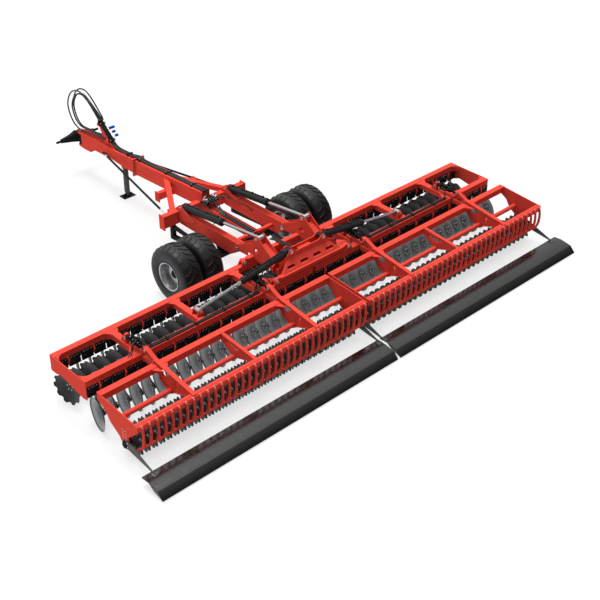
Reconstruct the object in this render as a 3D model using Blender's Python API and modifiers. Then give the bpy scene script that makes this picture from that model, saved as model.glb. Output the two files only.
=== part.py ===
import math

import bmesh
import bpy
from mathutils import Matrix, Vector

# Sizes are in metres.  Y runs forwards from the front face of the packer frame's
# front tube, Z up from the floor, X to the machine's right.

# clearances
seat_gap = 0.0003
pin_play = 0.0006

# working width and frames
half_width = 5.0
seam_gap = 0.03
plate = 0.015
tube = 0.12
tube_top = 0.91
tube_low = tube_top - tube
module_gap = 0.315
rear_tube_y = module_gap + tube / 2
row_spacing = 0.885
front_tube_y = rear_tube_y + row_spacing
brace_x = (1.2, 2.55, 3.87)
brace_width = 0.12

# disc rows
disc_radius = 0.30
disc_pitch = 0.25
disc_count = 20
disc_angle = math.radians(12)
disc_trail = 0.2
disc_dish = 0.05
disc_sides = 10
clamp_depth = 0.15
clamp_height = 0.13

# packer
roller_radius = 0.275
drum_radius = 0.17
roller_y = -0.685
roller_start = 0.10
ring_count = 34
ring_half = 0.022
roller_steps = 8
roller_reach = half_width - 0.07
ring_pitch = (roller_reach - roller_start) / ring_count
axle_radius = 0.03
beam_size = 0.10
beam_top = 0.83
beam_y = -0.996
round_tube_radius = 0.045
round_tube_y = -0.43
round_tube_z = 0.60
scraper_width = 0.034
arm_width = 0.08
arm_web = 0.028
arm_flange = 0.014

# trailing board
board_sheet = 0.014
board_front = (-1.34, 0.14)
board_ridge = (-1.74, 0.155)
board_rear = (-1.86, 0.03)
board_overhang = 0.2
board_arm = 0.02

# fold and lift pivots
fold_x = 0.9
fold_z = 0.97
ear_radius = 0.045
ear_width = 0.066
lug_plate = 0.02
fold_pin_radius = 0.02
lift_y = 1.70
lift_z = 0.95
lift_pin_radius = 0.03
centre_low = tube_top + 0.015
centre_high = 1.01
centre_tube = 0.10

# cylinders
beam_x = 0.57
lift_barrel_pin = Vector((0, 3.40, 1.10))
lift_rod_pin = Vector((0, 1.15, 1.38))
lift_barrel_radius = 0.065
lift_barrel_length = 1.2
lift_rod_radius = 0.03
fold_barrel_pin = Vector((0.40, 0.58, 1.30))
fold_rod_pin = Vector((2.50, 0.58, 0.99))
fold_barrel_radius = 0.055
fold_barrel_length = 1.12
fold_rod_radius = 0.026
cylinder_pin_radius = 0.022
clevis_gap = 0.124
depth_radius = 0.045
depth_z = 1.03
depth_front = 0.72

# chassis
beam_half = 0.07
beam_low = 0.73
beam_high = 1.01
cross_y = 3.50
cross_half = 0.06
cross_reach = 1.03
cross_low = 0.75
drawbar_half = 0.10
flange_y = 5.65
flange_plate = 0.02
flange_z = (0.73, 1.12)
head_plate = 0.02
swivel_y = 7.72
hitch_y = 7.93
hitch_z = 0.80
hitch_half = 0.55
hitch_pin_radius = 0.026
stand_y = 6.15
stand_z = 0.70
stand_foot = 0.02

# wheels
tyre_radius = 0.58
tyre_width = 0.44
rim_radius = 0.285
wheel_y = 2.25
wheel_x = 1.42
twin_spacing = 0.50
wheel_steps = 16
stub_radius = 0.065

hose_radius = 0.016
hose_spots = {"left": -0.055, "inner_left": -0.018, "inner_right": 0.018, "right": 0.055}

front_most = hitch_y + 0.04
rear_most = board_rear[0]
middle_y = (front_most + rear_most) / 2


def clear_scene():
    for item in list(bpy.data.objects):
        bpy.data.objects.remove(item, do_unlink=True)


def make_material(name, color, roughness, metallic):
    material = bpy.data.materials.new(name)
    material.use_nodes = True
    shader = material.node_tree.nodes["Principled BSDF"]
    shader.inputs["Base Color"].default_value = (*color, 1)
    shader.inputs["Roughness"].default_value = roughness
    shader.inputs["Metallic"].default_value = metallic
    material.diffuse_color = (*color, 1)
    return material


def scratch_object(name, data):
    item = bpy.data.objects.new(name, data)
    bpy.context.scene.collection.objects.link(item)
    return item


def bake(item):
    """Return the evaluated mesh of an object as a plain mesh object."""
    graph = bpy.context.evaluated_depsgraph_get()
    mesh = bpy.data.meshes.new_from_object(item.evaluated_get(graph))
    mesh.transform(item.matrix_world)
    name = item.name
    bpy.data.objects.remove(item, do_unlink=True)
    result = scratch_object(name, mesh)
    shell = bmesh.new()
    shell.from_mesh(mesh)
    bmesh.ops.remove_doubles(shell, verts=shell.verts, dist=0.00005)
    bmesh.ops.recalc_face_normals(shell, faces=shell.faces)
    shell.to_mesh(mesh)
    shell.free()
    return result


def from_bmesh(shell, matrix):
    mesh = bpy.data.meshes.new("piece")
    shell.transform(matrix)
    shell.to_mesh(mesh)
    shell.free()
    return scratch_object("piece", mesh)


def box(x, y, z):
    """A box between (low, high) pairs along each axis."""
    shell = bmesh.new()
    bmesh.ops.create_cube(shell, size=1)
    size = Matrix.Diagonal((abs(x[1] - x[0]), abs(y[1] - y[0]), abs(z[1] - z[0]), 1))
    centre = Matrix.Translation(((x[0] + x[1]) / 2, (y[0] + y[1]) / 2, (z[0] + z[1]) / 2))
    return from_bmesh(shell, centre @ size)


def bar(start, end, width, height, up=(0, 0, 1)):
    """A straight rectangular bar; height is measured along up."""
    start, end = Vector(start), Vector(end)
    along = (end - start).normalized()
    side = along.cross(Vector(up)).normalized()
    top = side.cross(along)
    turn = Matrix((side, along, top)).transposed().to_4x4()
    size = Matrix.Diagonal((width, (end - start).length, height, 1))
    shell = bmesh.new()
    bmesh.ops.create_cube(shell, size=1)
    return from_bmesh(shell, Matrix.Translation((start + end) / 2) @ turn @ size)


def rod(start, end, radius, sides=8, end_radius=None):
    """A round bar, or a cone when end_radius is given."""
    start, end = Vector(start), Vector(end)
    turn = Vector((0, 0, 1)).rotation_difference(end - start).to_matrix().to_4x4()
    shell = bmesh.new()
    bmesh.ops.create_cone(
        shell,
        cap_ends=True,
        segments=sides,
        radius1=radius,
        radius2=radius if end_radius is None else end_radius,
        depth=(end - start).length,
    )
    return from_bmesh(shell, Matrix.Translation((start + end) / 2) @ turn)


def around(radius, sides):
    """Radius of a polygonal hole that clears a round pin of the given radius."""
    return (radius + pin_play) / math.cos(math.pi / sides)


def slab(points, normal, low, high, holes=()):
    """A flat outline extruded between low and high along X or Y."""
    curve = bpy.data.curves.new("outline", "CURVE")
    curve.dimensions = "2D"
    curve.fill_mode = "BOTH"
    curve.extrude = abs(high - low) / 2
    for loop in (points, *holes):
        spline = curve.splines.new("POLY")
        spline.points.add(len(loop) - 1)
        for point, place in zip(spline.points, loop):
            point.co = (place[0], place[1], 0, 1)
        spline.use_cyclic_u = True
    item = scratch_object("outline", curve)
    middle = (low + high) / 2
    if normal == "X":
        item.matrix_world = Matrix(((0, 0, 1, middle), (1, 0, 0, 0), (0, 1, 0, 0), (0, 0, 0, 1)))
    else:
        item.matrix_world = Matrix(((1, 0, 0, 0), (0, 0, -1, middle), (0, 1, 0, 0), (0, 0, 0, 1)))
    bpy.context.view_layer.update()
    return bake(item)


def turned(profile, centre, steps):
    """Turn a closed (x, radius) profile about the X axis through centre."""
    mesh = bpy.data.meshes.new("profile")
    verts = [(x, 0, -radius) for x, radius in profile]
    edges = [(i, (i + 1) % len(verts)) for i in range(len(verts))]
    mesh.from_pydata(verts, edges, [])
    item = scratch_object("turned", mesh)
    item.location = centre
    screw = item.modifiers.new("turn", "SCREW")
    screw.axis = "X"
    screw.steps = steps
    screw.render_steps = steps
    screw.use_merge_vertices = True
    screw.merge_threshold = 0.0001
    bpy.context.view_layer.update()
    return bake(item)


def repeat(item, count, step):
    array = item.modifiers.new("row", "ARRAY")
    array.count = count
    array.use_relative_offset = False
    array.use_constant_offset = True
    array.constant_offset_displace = (step, 0, 0)
    bpy.context.view_layer.update()
    return bake(item)


def combine(base, others, operation):
    if not others:
        return base
    group = bpy.data.collections.new("operands")
    for item in others:
        bpy.context.scene.collection.objects.unlink(item)
        group.objects.link(item)
    bpy.context.scene.collection.children.link(group)
    modifier = base.modifiers.new(operation, "BOOLEAN")
    modifier.operation = operation
    modifier.operand_type = "COLLECTION"
    modifier.collection = group
    modifier.solver = "EXACT"
    bpy.context.view_layer.update()
    result = bake(base)
    for item in others:
        bpy.data.objects.remove(item, do_unlink=True)
    bpy.data.collections.remove(group)
    return result


def mirrored(item):
    item.data.transform(Matrix.Diagonal((-1, 1, 1, 1)))
    item.data.flip_normals()
    return item


def node(name, material, pieces, cuts=(), origin=(0, 0, 0), side=1):
    """Weld pieces, take the cuts away and place the result on the harrow."""
    solid = combine(pieces[0], list(pieces[1:]), "UNION")
    solid = combine(solid, list(cuts), "DIFFERENCE")
    if side < 0:
        solid = mirrored(solid)
    mesh = solid.data
    origin = Vector((origin[0] * (side if side < 0 else 1), origin[1], origin[2]))
    mesh.transform(Matrix.Translation(-origin))
    mesh.name = name
    solid.name = name
    solid.location = origin
    solid.parent = bpy.data.objects["harrow"]
    mesh.materials.clear()
    mesh.materials.append(material)
    return solid


def side_name(side):
    return "right" if side > 0 else "left"


def round_end(centre, radius, start, end, count=4):
    """Points on an arc between two angles in degrees."""
    angles = [math.radians(start + (end - start) * i / (count - 1)) for i in range(count)]
    return [(centre[0] + radius * math.cos(a), centre[1] + radius * math.sin(a)) for a in angles]


# --- wings ---------------------------------------------------------------


def hinge_lugs(y):
    """Two lugs and their pin on a wing tube, around the fold axis."""
    outline = [(fold_x - 0.09, tube_top - 0.006), (fold_x + 0.09, tube_top - 0.006)]
    outline += round_end((fold_x, fold_z), ear_radius, 10, 170)
    offset = ear_width / 2 + 0.003
    pieces = []
    for low in (y - offset - lug_plate, y + offset):
        pieces.append(slab(outline, "Y", low, low + lug_plate))
    reach = offset + lug_plate - 0.002
    pieces.append(rod((fold_x, y - reach, fold_z), (fold_x, y + reach, fold_z), fold_pin_radius))
    return pieces


def fold_lugs():
    """Clevis on the middle brace that holds the fold cylinder's rod eye."""
    x, y, z = fold_rod_pin
    outline = [(x - 0.08, tube_top - 0.01), (x + 0.09, tube_top - 0.01)]
    outline += round_end((x, z), 0.05, 10, 170)
    return [
        slab(outline, "Y", y - clevis_gap / 2 - lug_plate, y - clevis_gap / 2),
        slab(outline, "Y", y + clevis_gap / 2, y + clevis_gap / 2 + lug_plate),
    ]


def front_frame(side, paint):
    start = seam_gap
    end = half_width
    high = front_tube_y + tube / 2
    low = rear_tube_y - tube / 2
    pieces = [
        box((start + 0.002, end - 0.002), (y - tube / 2, y + tube / 2), (tube_low, tube_top))
        for y in (front_tube_y, rear_tube_y)
    ]
    outline = [
        (high + 0.002, tube_top + 0.002),
        (low - 0.002, tube_top + 0.002),
        (low - 0.002, 0.55),
        (low + 0.10, 0.53),
        (low + 0.60, 0.62),
        (high - 0.27, 0.64),
        (high - 0.15, 0.59),
        (high + 0.002, 0.59),
    ]
    inner = [(y, max(z, tube_low - 0.03)) for y, z in outline]
    inner = [inner[0], inner[1], (inner[1][0], inner[2][1]), (inner[0][0], inner[2][1])]
    pieces.append(slab(outline, "X", end - plate, end))
    pieces.append(slab(inner, "X", start, start + plate))
    for x in brace_x:
        pieces.append(
            box(
                (x - brace_width / 2, x + brace_width / 2),
                (rear_tube_y, front_tube_y),
                (tube_low + 0.006, tube_top - 0.004),
            )
        )
    pieces += hinge_lugs(front_tube_y) + hinge_lugs(rear_tube_y) + fold_lugs()
    for x in (brace_x[0], brace_x[2]):
        outline = [
            (depth_front, tube_top - 0.01),
            (depth_front + 0.16, tube_top - 0.01),
            (depth_front + 0.05, depth_z + 0.05),
            (depth_front, depth_z + 0.05),
        ]
        pieces.append(slab(outline, "X", x - 0.035, x + 0.035))
    node(f"front_frame_{side_name(side)}", paint, pieces, side=side, origin=(fold_x, 0, fold_z))


def packer_arm(x):
    """Cranked web with two flanges, from the depth cylinder back to the scraper beam."""
    back = beam_y
    outline = [
        (0.25, 1.08),
        (0.17, 1.08),
        (-0.04, 0.985),
        (-0.35, 0.94),
        (back - 0.03, beam_top + 0.02),
        (back + 0.03, beam_top - 0.07),
        (round_tube_y - 0.12, round_tube_z + 0.01),
        (round_tube_y, round_tube_z - 0.07),
        (round_tube_y + 0.08, round_tube_z - 0.03),
        (-0.14, tube_low - 0.10),
        (-0.02, tube_low - 0.03),
        (0.02, 0.90),
        (0.25, 0.98),
    ]
    window = [(-0.12, 0.90), (-0.40, 0.87), (-0.20, 0.73)]
    slot = [(-0.60, 0.82), (-0.60, 0.69), (-0.54, 0.69), (-0.54, 0.82)]
    pieces = [slab(outline, "X", x - arm_web / 2, x + arm_web / 2, (window, slot))]
    for edge, inward in ((outline[:5], -1), (outline[5:10], 1)):
        for (y0, z0), (y1, z1) in zip(edge, edge[1:]):
            rise = inward * arm_flange / 2
            start, end = (x, y0, z0 + rise), (x, y1, z1 + rise)
            pieces.append(bar(start, end, arm_width, arm_flange))
    return pieces


def packer_end_outline():
    """Side plate with the lobe that carries the roller's bearing."""
    return [
        (0.001, tube_top + 0.001),
        (beam_y - 0.052, beam_top + 0.004),
        (beam_y - 0.03, 0.70),
        (roller_y - 0.085, 0.46),
        (roller_y - 0.105, roller_radius),
        (roller_y - 0.04, roller_radius - 0.085),
        (roller_y + 0.06, roller_radius - 0.08),
        (roller_y + 0.15, roller_radius + 0.08),
        (-0.31, 0.50),
        (-0.20, 0.66),
        (0.001, tube_low - 0.02),
    ]


def packer_frame(side, paint):
    start = seam_gap
    end = half_width
    pieces = [
        box((start + 0.002, end - 0.002), (-tube, 0), (tube_low, tube_top)),
        box(
            (start + 0.002, end - 0.002),
            (beam_y - beam_size / 2, beam_y + beam_size / 2),
            (beam_top - beam_size, beam_top),
        ),
        rod(
            (start + 0.004, round_tube_y, round_tube_z),
            (end - 0.004, round_tube_y, round_tube_z),
            round_tube_radius,
        ),
    ]
    for low in (start, end - plate):
        pieces.append(slab(packer_end_outline(), "X", low, low + plate))
    for x in (brace_x[0], brace_x[2]):
        pieces += packer_arm(x)
        pieces.append(box((x - 0.03, x + 0.03), (-0.02, module_gap - seat_gap), (0.80, 0.88)))
    small = [
        (-0.06, tube_top - 0.003),
        (beam_y, beam_top - 0.003),
        (beam_y + 0.01, beam_top - 0.06),
        (round_tube_y, round_tube_z - 0.02),
        (-0.06, tube_low + 0.01),
    ]
    window = [(-0.20, 0.85), (-0.62, 0.79), (-0.42, 0.71), (-0.22, 0.77)]
    pieces.append(slab(small, "X", brace_x[1] - 0.03, brace_x[1] + 0.03, (window,)))
    hole = around(axle_radius, 12)
    cuts = [
        rod((x - 0.03, roller_y, roller_radius), (x + 0.03, roller_y, roller_radius), hole, 12)
        for x in (start, end)
    ]
    name = f"packer_frame_{side_name(side)}"
    node(name, paint, pieces, cuts, side=side, origin=(fold_x, 0, fold_z))


def disc_row(name, steel, side, tube_y, turn):
    """A row of angled discs on arms, hung from one long clamp housing."""
    first = disc_pitch / 2 if side > 0 else -disc_pitch * (disc_count - 0.5)
    top = tube_low - seat_gap
    low = top - clamp_height
    axle = Vector((first, tube_y - disc_trail, disc_radius))
    normal = Vector((-math.cos(disc_angle), turn * math.sin(disc_angle), 0))
    tip = axle - normal * (disc_dish / 2 + 0.01)
    disc = rod(axle + normal * disc_dish / 2, tip, disc_radius, disc_sides, 0)
    arm = bar((first, tube_y, low + 0.02), axle - Vector((0, 0, 0.02)), 0.03, 0.07, (0, 1, 0))
    row = repeat(combine(disc, [arm], "UNION"), disc_count, disc_pitch)
    reach = disc_pitch * (disc_count - 1)
    margin = 0.07
    housing = box(
        (first - margin, first + reach + margin),
        (tube_y - clamp_depth / 2, tube_y + clamp_depth / 2),
        (low, top),
    )
    node(name, steel, [housing, row], origin=(side * fold_x, 0, fold_z))


def roller(side, steel):
    """Drum with a wedge ring at every pitch; the axle ends run in the side plates."""
    near, far = seam_gap + 0.002, half_width - 0.002
    profile = [(near, 0), (near, axle_radius), (roller_start - 0.01, axle_radius)]
    profile.append((roller_start - 0.01, drum_radius))
    for i in range(ring_count):
        middle = roller_start + ring_pitch * (i + 0.5)
        profile += [
            (middle - ring_half, drum_radius),
            (middle, roller_radius),
            (middle + ring_half, drum_radius),
        ]
    profile.append((roller_reach + 0.01, drum_radius))
    profile += [(roller_reach + 0.01, axle_radius), (far, axle_radius), (far, 0)]
    item = turned(profile, (0, roller_y, roller_radius), roller_steps)
    name = f"roller_{side_name(side)}"
    node(name, steel, [item], side=side, origin=(0, roller_y, roller_radius))


def scraper_row(side, paint):
    """Curved scrapers between the rings, on a rail behind the scraper beam."""
    back = beam_y - beam_size / 2 - seat_gap
    tip = roller_y - drum_radius - 0.015
    outline = [
        (back - 0.004, beam_top - 0.015),
        (back - 0.05, beam_top + 0.01),
        (back - 0.06, 0.45),
        (tip, roller_radius - 0.04),
        (tip, roller_radius + 0.01),
        (back - 0.015, 0.50),
        (back - 0.012, beam_top - 0.10),
        (back - 0.004, beam_top - 0.065),
    ]
    blade = slab(outline, "X", roller_start - scraper_width / 2, roller_start + scraper_width / 2)
    rail = box(
        (roller_start - 0.02, roller_reach + 0.02),
        (back - 0.008, back),
        (beam_top - 0.08, beam_top - 0.005),
    )
    name = f"scraper_row_{side_name(side)}"
    pieces = [rail, repeat(blade, ring_count + 1, ring_pitch)]
    node(name, paint, pieces, side=side, origin=(fold_x, 0, fold_z))


def trailing_board(side, dark):
    """Folded board behind the packer on two tapered arms."""
    start = seam_gap
    end = half_width + board_overhang
    ridge = board_ridge
    outline = [
        board_front,
        ridge,
        board_rear,
        (board_rear[0] + board_sheet, board_rear[1] - 0.002),
        (ridge[0] + 0.008, ridge[1] - board_sheet),
        (board_front[0], board_front[1] - board_sheet),
    ]
    pieces = [slab(outline, "X", start, end)]
    arm = [
        (roller_y - 0.055, roller_radius + 0.13),
        (roller_y - 0.055, roller_radius - 0.04),
        (board_front[0] - 0.05, board_front[1] - 0.008),
        (board_front[0] - 0.12, board_front[1] + 0.012),
        (board_front[0], board_front[1] + 0.035),
    ]
    for low in (seam_gap + plate + seat_gap, half_width + seat_gap):
        pieces.append(slab(arm, "X", low, low + board_arm))
    name = f"trailing_board_{side_name(side)}"
    node(name, dark, pieces, side=side, origin=(fold_x, 0, fold_z))


def depth_cylinder(side, place, x, dark):
    """Short cylinder between the packer arm and the front frame."""
    back = 0.25 + seat_gap
    front = depth_front - seat_gap
    pieces = [
        rod((x, back + 0.10, depth_z), (x, front - 0.05, depth_z), depth_radius),
        box((x - 0.025, x + 0.025), (back, back + 0.12), (depth_z - 0.03, depth_z + 0.03)),
        box((x - 0.03, x + 0.03), (front - 0.08, front), (depth_z - 0.035, depth_z + 0.035)),
    ]
    name = f"depth_cylinder_{side_name(side)}_{place}"
    node(name, dark, pieces, side=side, origin=(fold_x, 0, fold_z))


# --- centre frame --------------------------------------------------------


def hinge_ear(y, side):
    points = [(0.76, centre_low), (fold_x, fold_z - ear_radius)]
    points += round_end((fold_x, fold_z), ear_radius, -60, 90)
    points += [(0.76, centre_high + 0.003)]
    ear = slab(points, "Y", y - ear_width / 2, y + ear_width / 2)
    return ear if side > 0 else mirrored(ear)


def centre_frame(paint):
    """Cross tubes with hinge ears, and the plates that hold the fold cylinders."""
    pieces = []
    cuts = []
    for y in (front_tube_y, rear_tube_y):
        pieces.append(
            box((-0.80, 0.80), (y - centre_tube / 2, y + centre_tube / 2), (centre_low, centre_high))
        )
        for side in (-1, 1):
            pieces.append(hinge_ear(y, side))
            x = side * fold_x
            cuts.append(
                rod((x, y - 0.1, fold_z), (x, y + 0.1, fold_z), around(fold_pin_radius, 12), 12)
            )
    pin_x, pin_y, pin_z = fold_barrel_pin
    top = round_end((pin_x, pin_z), 0.06, 0, 120)
    outline = [(0.72, centre_low + 0.005), (0.72, 1.06)]
    outline += top
    outline += [(pin_x - 0.12, pin_z - 0.01)]
    outline += [(-x, z) for x, z in reversed(outline)]
    half = clevis_gap / 2
    for low in (pin_y - half - lug_plate, pin_y + half):
        pieces.append(slab(outline, "Y", low, low + lug_plate))
    for side in (-1, 1):
        x = side * pin_x
        reach = half + lug_plate + 0.01
        pieces.append(
            rod((x, pin_y - reach, pin_z), (x, pin_y + reach, pin_z), cylinder_pin_radius)
        )
    pieces.append(box((-0.15, 0.15), (pin_y - half - 0.01, pin_y + half + 0.01), (0.94, 1.24)))
    for x in (-beam_x, beam_x):
        pieces.append(
            box(
                (x - 0.10, x + 0.10),
                (rear_tube_y, front_tube_y),
                (centre_low + 0.002, centre_high - 0.001),
            )
        )
    plate_back = pin_y - half - lug_plate
    skirt = [(rear_tube_y - 0.02, centre_high - 0.01), (rear_tube_y + 0.03, centre_high - 0.01)]
    skirt += [(plate_back + 0.005, 1.15), (plate_back + 0.005, 1.20)]
    pieces.append(slab(skirt, "X", -0.70, 0.70))
    corner = [(0.45, 1.25), (0.80, 1.25), (0.80, centre_high + 0.001), (0.71, centre_high + 0.001)]
    for side in (-1, 1):
        wedge = slab(corner, "Y", 0.30, plate_back - 0.0005)
        cuts.append(wedge if side > 0 else mirrored(wedge))
    for x in (-0.48, -0.16, 0.16, 0.48):
        cuts.append(box((x - 0.09, x + 0.09), (0.36, pin_y - half + 0.01), (1.045, 1.10)))
    node("centre_frame", paint, pieces, cuts, origin=(0, lift_y, lift_z))


def tower(side, paint):
    """Pair of A-shaped plates from the lift pivot up to the lift cylinder's eye."""
    y, z = lift_rod_pin[1], lift_rod_pin[2]
    outline = round_end((lift_y, lift_z), 0.075, -30, 60, 4)
    outline += [(y + 0.12, z - 0.12)]
    outline += round_end((y, z), 0.07, 20, 160)
    back = fold_barrel_pin[1] + clevis_gap / 2 + lug_plate + seat_gap
    outline += [(back, 1.10), (back, centre_high + seat_gap)]
    outline += [(lift_y - 0.30, centre_high + seat_gap), (lift_y - 0.30, centre_low)]
    hole = [(y - 0.06, 1.09), (y + 0.08, 1.09), (y + 0.01, 1.22)]
    inner = beam_half + 0.0085
    pieces = []
    for low in (beam_x - inner - plate, beam_x + inner):
        pieces.append(slab(outline, "X", low, low + plate, (hole,)))
    cover = [
        (y - 0.055, z - 0.11),
        (y - 0.075, z - 0.10),
        (back + 0.005, 1.10),
        (back + 0.005, 1.02),
        (back + 0.025, 1.02),
        (back + 0.025, 1.09),
    ]
    pieces.append(slab(cover, "X", beam_x - inner - 0.005, beam_x + inner + 0.005))
    reach = 0.145
    hole = around(lift_pin_radius, 12)
    cuts = [rod((beam_x - reach, lift_y, lift_z), (beam_x + reach, lift_y, lift_z), hole, 12)]
    name = f"lift_tower_{side_name(side)}"
    node(name, paint, pieces, cuts, side=side, origin=(beam_x, lift_y, lift_z))


# --- cylinders -----------------------------------------------------------


def cylinder_pair(kind, side, start, end, cross, sizes, finishes):
    """Barrel pinned at start, and its rod with a solid eye at end."""
    radius, length, rod_radius, eye = sizes
    along = (end - start).normalized()
    cross = Vector(cross)
    half_eye = eye / 2
    barrel = [
        rod(start + along * 0.075, start + along * length, radius, 12),
        rod(start - cross * half_eye, start + cross * half_eye, 0.048, 10),
    ]
    cuts = [
        rod(start + along * 0.11, start + along * (length + 0.05), rod_radius + pin_play, 10),
        rod(start - cross * 0.2, start + cross * 0.2, around(cylinder_pin_radius, 12), 12),
    ]
    neck = bar(start + along * 0.03, start + along * 0.09, eye * 0.8, 0.07, cross)
    name = side_name(side)
    barrel.append(neck)
    node(f"{kind}_barrel_{name}", finishes[0], barrel, cuts, side=side, origin=start)
    shaft = [
        rod(start + along * (length - 0.10), end - along * 0.03, rod_radius, 10),
        rod(end - cross * half_eye, end + cross * half_eye, 0.045, 10),
    ]
    node(f"{kind}_rod_{name}", finishes[1], shaft, side=side, origin=start)


def lift_cylinder(side, finishes):
    start = Vector((beam_x, lift_barrel_pin[1], lift_barrel_pin[2]))
    end = Vector((beam_x, lift_rod_pin[1], lift_rod_pin[2]))
    sizes = (lift_barrel_radius, lift_barrel_length, lift_rod_radius, 0.11)
    cylinder_pair("lift", side, start, end, (1, 0, 0), sizes, finishes)


def fold_cylinder(side, finishes):
    sizes = (fold_barrel_radius, fold_barrel_length, fold_rod_radius, 0.112)
    cylinder_pair("fold", side, fold_barrel_pin, fold_rod_pin, (0, 1, 0), sizes, finishes)


# --- chassis -------------------------------------------------------------


def main_beam(side, paint):
    end = cross_y - cross_half - seat_gap
    outline = [
        (end, beam_low),
        (end, beam_high),
        (lift_y + 0.08, beam_high + 0.02),
        (lift_y, beam_high + 0.02),
        (lift_y - 0.06, lift_z + 0.045),
        (lift_y - 0.07, lift_z - 0.02),
        (lift_y - 0.03, lift_z - 0.07),
        (lift_y + 0.20, beam_low),
    ]
    reach = beam_half + plate + 0.02
    pieces = [
        slab(outline, "X", beam_x - beam_half, beam_x + beam_half),
        rod((beam_x - reach, lift_y, lift_z), (beam_x + reach, lift_y, lift_z), lift_pin_radius),
    ]
    node(f"main_beam_{side_name(side)}", paint, pieces, side=side)


def crossbeam(paint):
    """Cross box with end plates and the brackets of the lift cylinders."""
    back = cross_y - cross_half
    pieces = [box((-cross_reach, cross_reach), (back, cross_y + cross_half), (cross_low, beam_high))]
    y, z = lift_barrel_pin[1], lift_barrel_pin[2]
    outline = [(cross_y + 0.05, beam_high - 0.01), (cross_y + 0.05, beam_high + 0.03)]
    outline += round_end((y, z), 0.055, 40, 200)
    outline += [(y - 0.03, beam_high + 0.03), (back + 0.002, beam_high + 0.012)]
    outline.append((back + 0.01, beam_high - 0.01))
    half = 0.058
    for side in (-1, 1):
        centre = side * beam_x
        for low in (centre - half - lug_plate, centre + half):
            pieces.append(slab(outline, "X", low, low + lug_plate))
        reach = half + lug_plate + 0.01
        pieces.append(rod((centre - reach, y, z), (centre + reach, y, z), cylinder_pin_radius))
        end = side * cross_reach
        pieces.append(
            box(
                (end - 0.012, end + 0.012),
                (back - 0.02, cross_y + cross_half + 0.02),
                (cross_low - 0.03, beam_high + 0.02),
            )
        )
    node("chassis_crossbeam", paint, pieces)


def rear_drawbar(paint):
    """Middle beam on the crossbeam with its braces and small front crossbar."""
    front = flange_y - seat_gap
    on_top = beam_high + seat_gap
    before = cross_y + cross_half + seat_gap
    outline = [
        (front, 0.76),
        (front, 1.08),
        (cross_y - 0.09, 1.22),
        (cross_y - 0.09, on_top),
        (before, on_top),
        (before, 0.88),
    ]
    pieces = [slab(outline, "X", -drawbar_half, drawbar_half)]
    pieces.append(box((-0.15, 0.15), (front - flange_plate, front), flange_z))
    for side in (-1, 1):
        pieces.append(
            bar((side * 0.05, 4.62, 1.04), (side * 0.66, before + 0.08, 0.93), 0.11, 0.10)
        )
        pieces.append(
            box((side * 0.60, side * 0.76), (before, before + 0.12), (0.87, 0.99))
        )
    pieces.append(box((-0.48, 0.48), (4.32, 4.42), (0.82, 0.97)))
    for side in (-1, 1):
        end = side * 0.48
        pieces.append(box((end - 0.01, end + 0.01), (4.30, 4.44), (0.78, 0.99)))
    node("rear_drawbar", paint, pieces)


def drawbar_neck(paint):
    """Front drawbar from the bolted flange to the fork of the hitch swivel."""
    back = flange_y + seat_gap
    outline = [
        (back, 0.76),
        (back, 1.08),
        (6.40, 1.04),
        (6.70, 1.03),
        (6.95, 1.00),
        (6.95, 0.79),
        (6.60, 0.80),
        (6.15, 0.77),
    ]
    side_plate = [
        (6.58, 1.045),
        (7.10, 1.05),
        (swivel_y - 0.10, 1.01),
        (swivel_y - 0.10, 0.655),
        (swivel_y - 0.32, 0.655),
        (7.17, 0.77),
        (6.58, 0.79),
    ]
    pieces = [slab(outline, "X", -drawbar_half + 0.004, drawbar_half - 0.004)]
    pieces.append(box((-0.15, 0.15), (back, back + flange_plate), flange_z))
    for low in (-drawbar_half, drawbar_half - head_plate):
        pieces.append(slab(side_plate, "X", low, low + head_plate))
    ear_x = drawbar_half - 0.004
    for low, back in ((0.66, 7.3), (0.96, 6.9)):
        pieces.append(box((-ear_x, ear_x), (back, swivel_y), (low, low + 0.04)))
        pieces.append(rod((0, swivel_y, low), (0, swivel_y, low + 0.04), ear_x - 0.001, 12))
    pieces.append(rod((0, swivel_y, 0.665), (0, swivel_y, 1.02), lift_pin_radius))
    hang = stand_z
    ear = [(stand_y - 0.06, 0.80), (stand_y + 0.06, 0.80)]
    ear += round_end((stand_y, hang), 0.045, -20, -160)
    for low in (-0.067, 0.047):
        pieces.append(slab(ear, "X", low, low + lug_plate))
    pieces.append(rod((-0.075, stand_y, hang), (0.075, stand_y, hang), cylinder_pin_radius))
    node("drawbar_neck", paint, pieces)


def parking_stand(paint):
    """Leg with a foot plate, hung on a pin under the drawbar."""
    half = 0.04
    pieces = [
        box((-half, half), (stand_y - half, stand_y + half), (0.01, stand_z)),
        rod((-half - 0.003, stand_y, stand_z), (half + 0.003, stand_y, stand_z), 0.046, 10),
        box((-0.15, 0.15), (stand_y - 0.10, stand_y + 0.10), (0, stand_foot)),
    ]
    hole = around(cylinder_pin_radius, 12)
    cuts = [rod((-0.1, stand_y, stand_z), (0.1, stand_y, stand_z), hole, 12)]
    node("parking_stand", paint, pieces, cuts, origin=(0, stand_y, stand_z))


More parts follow.
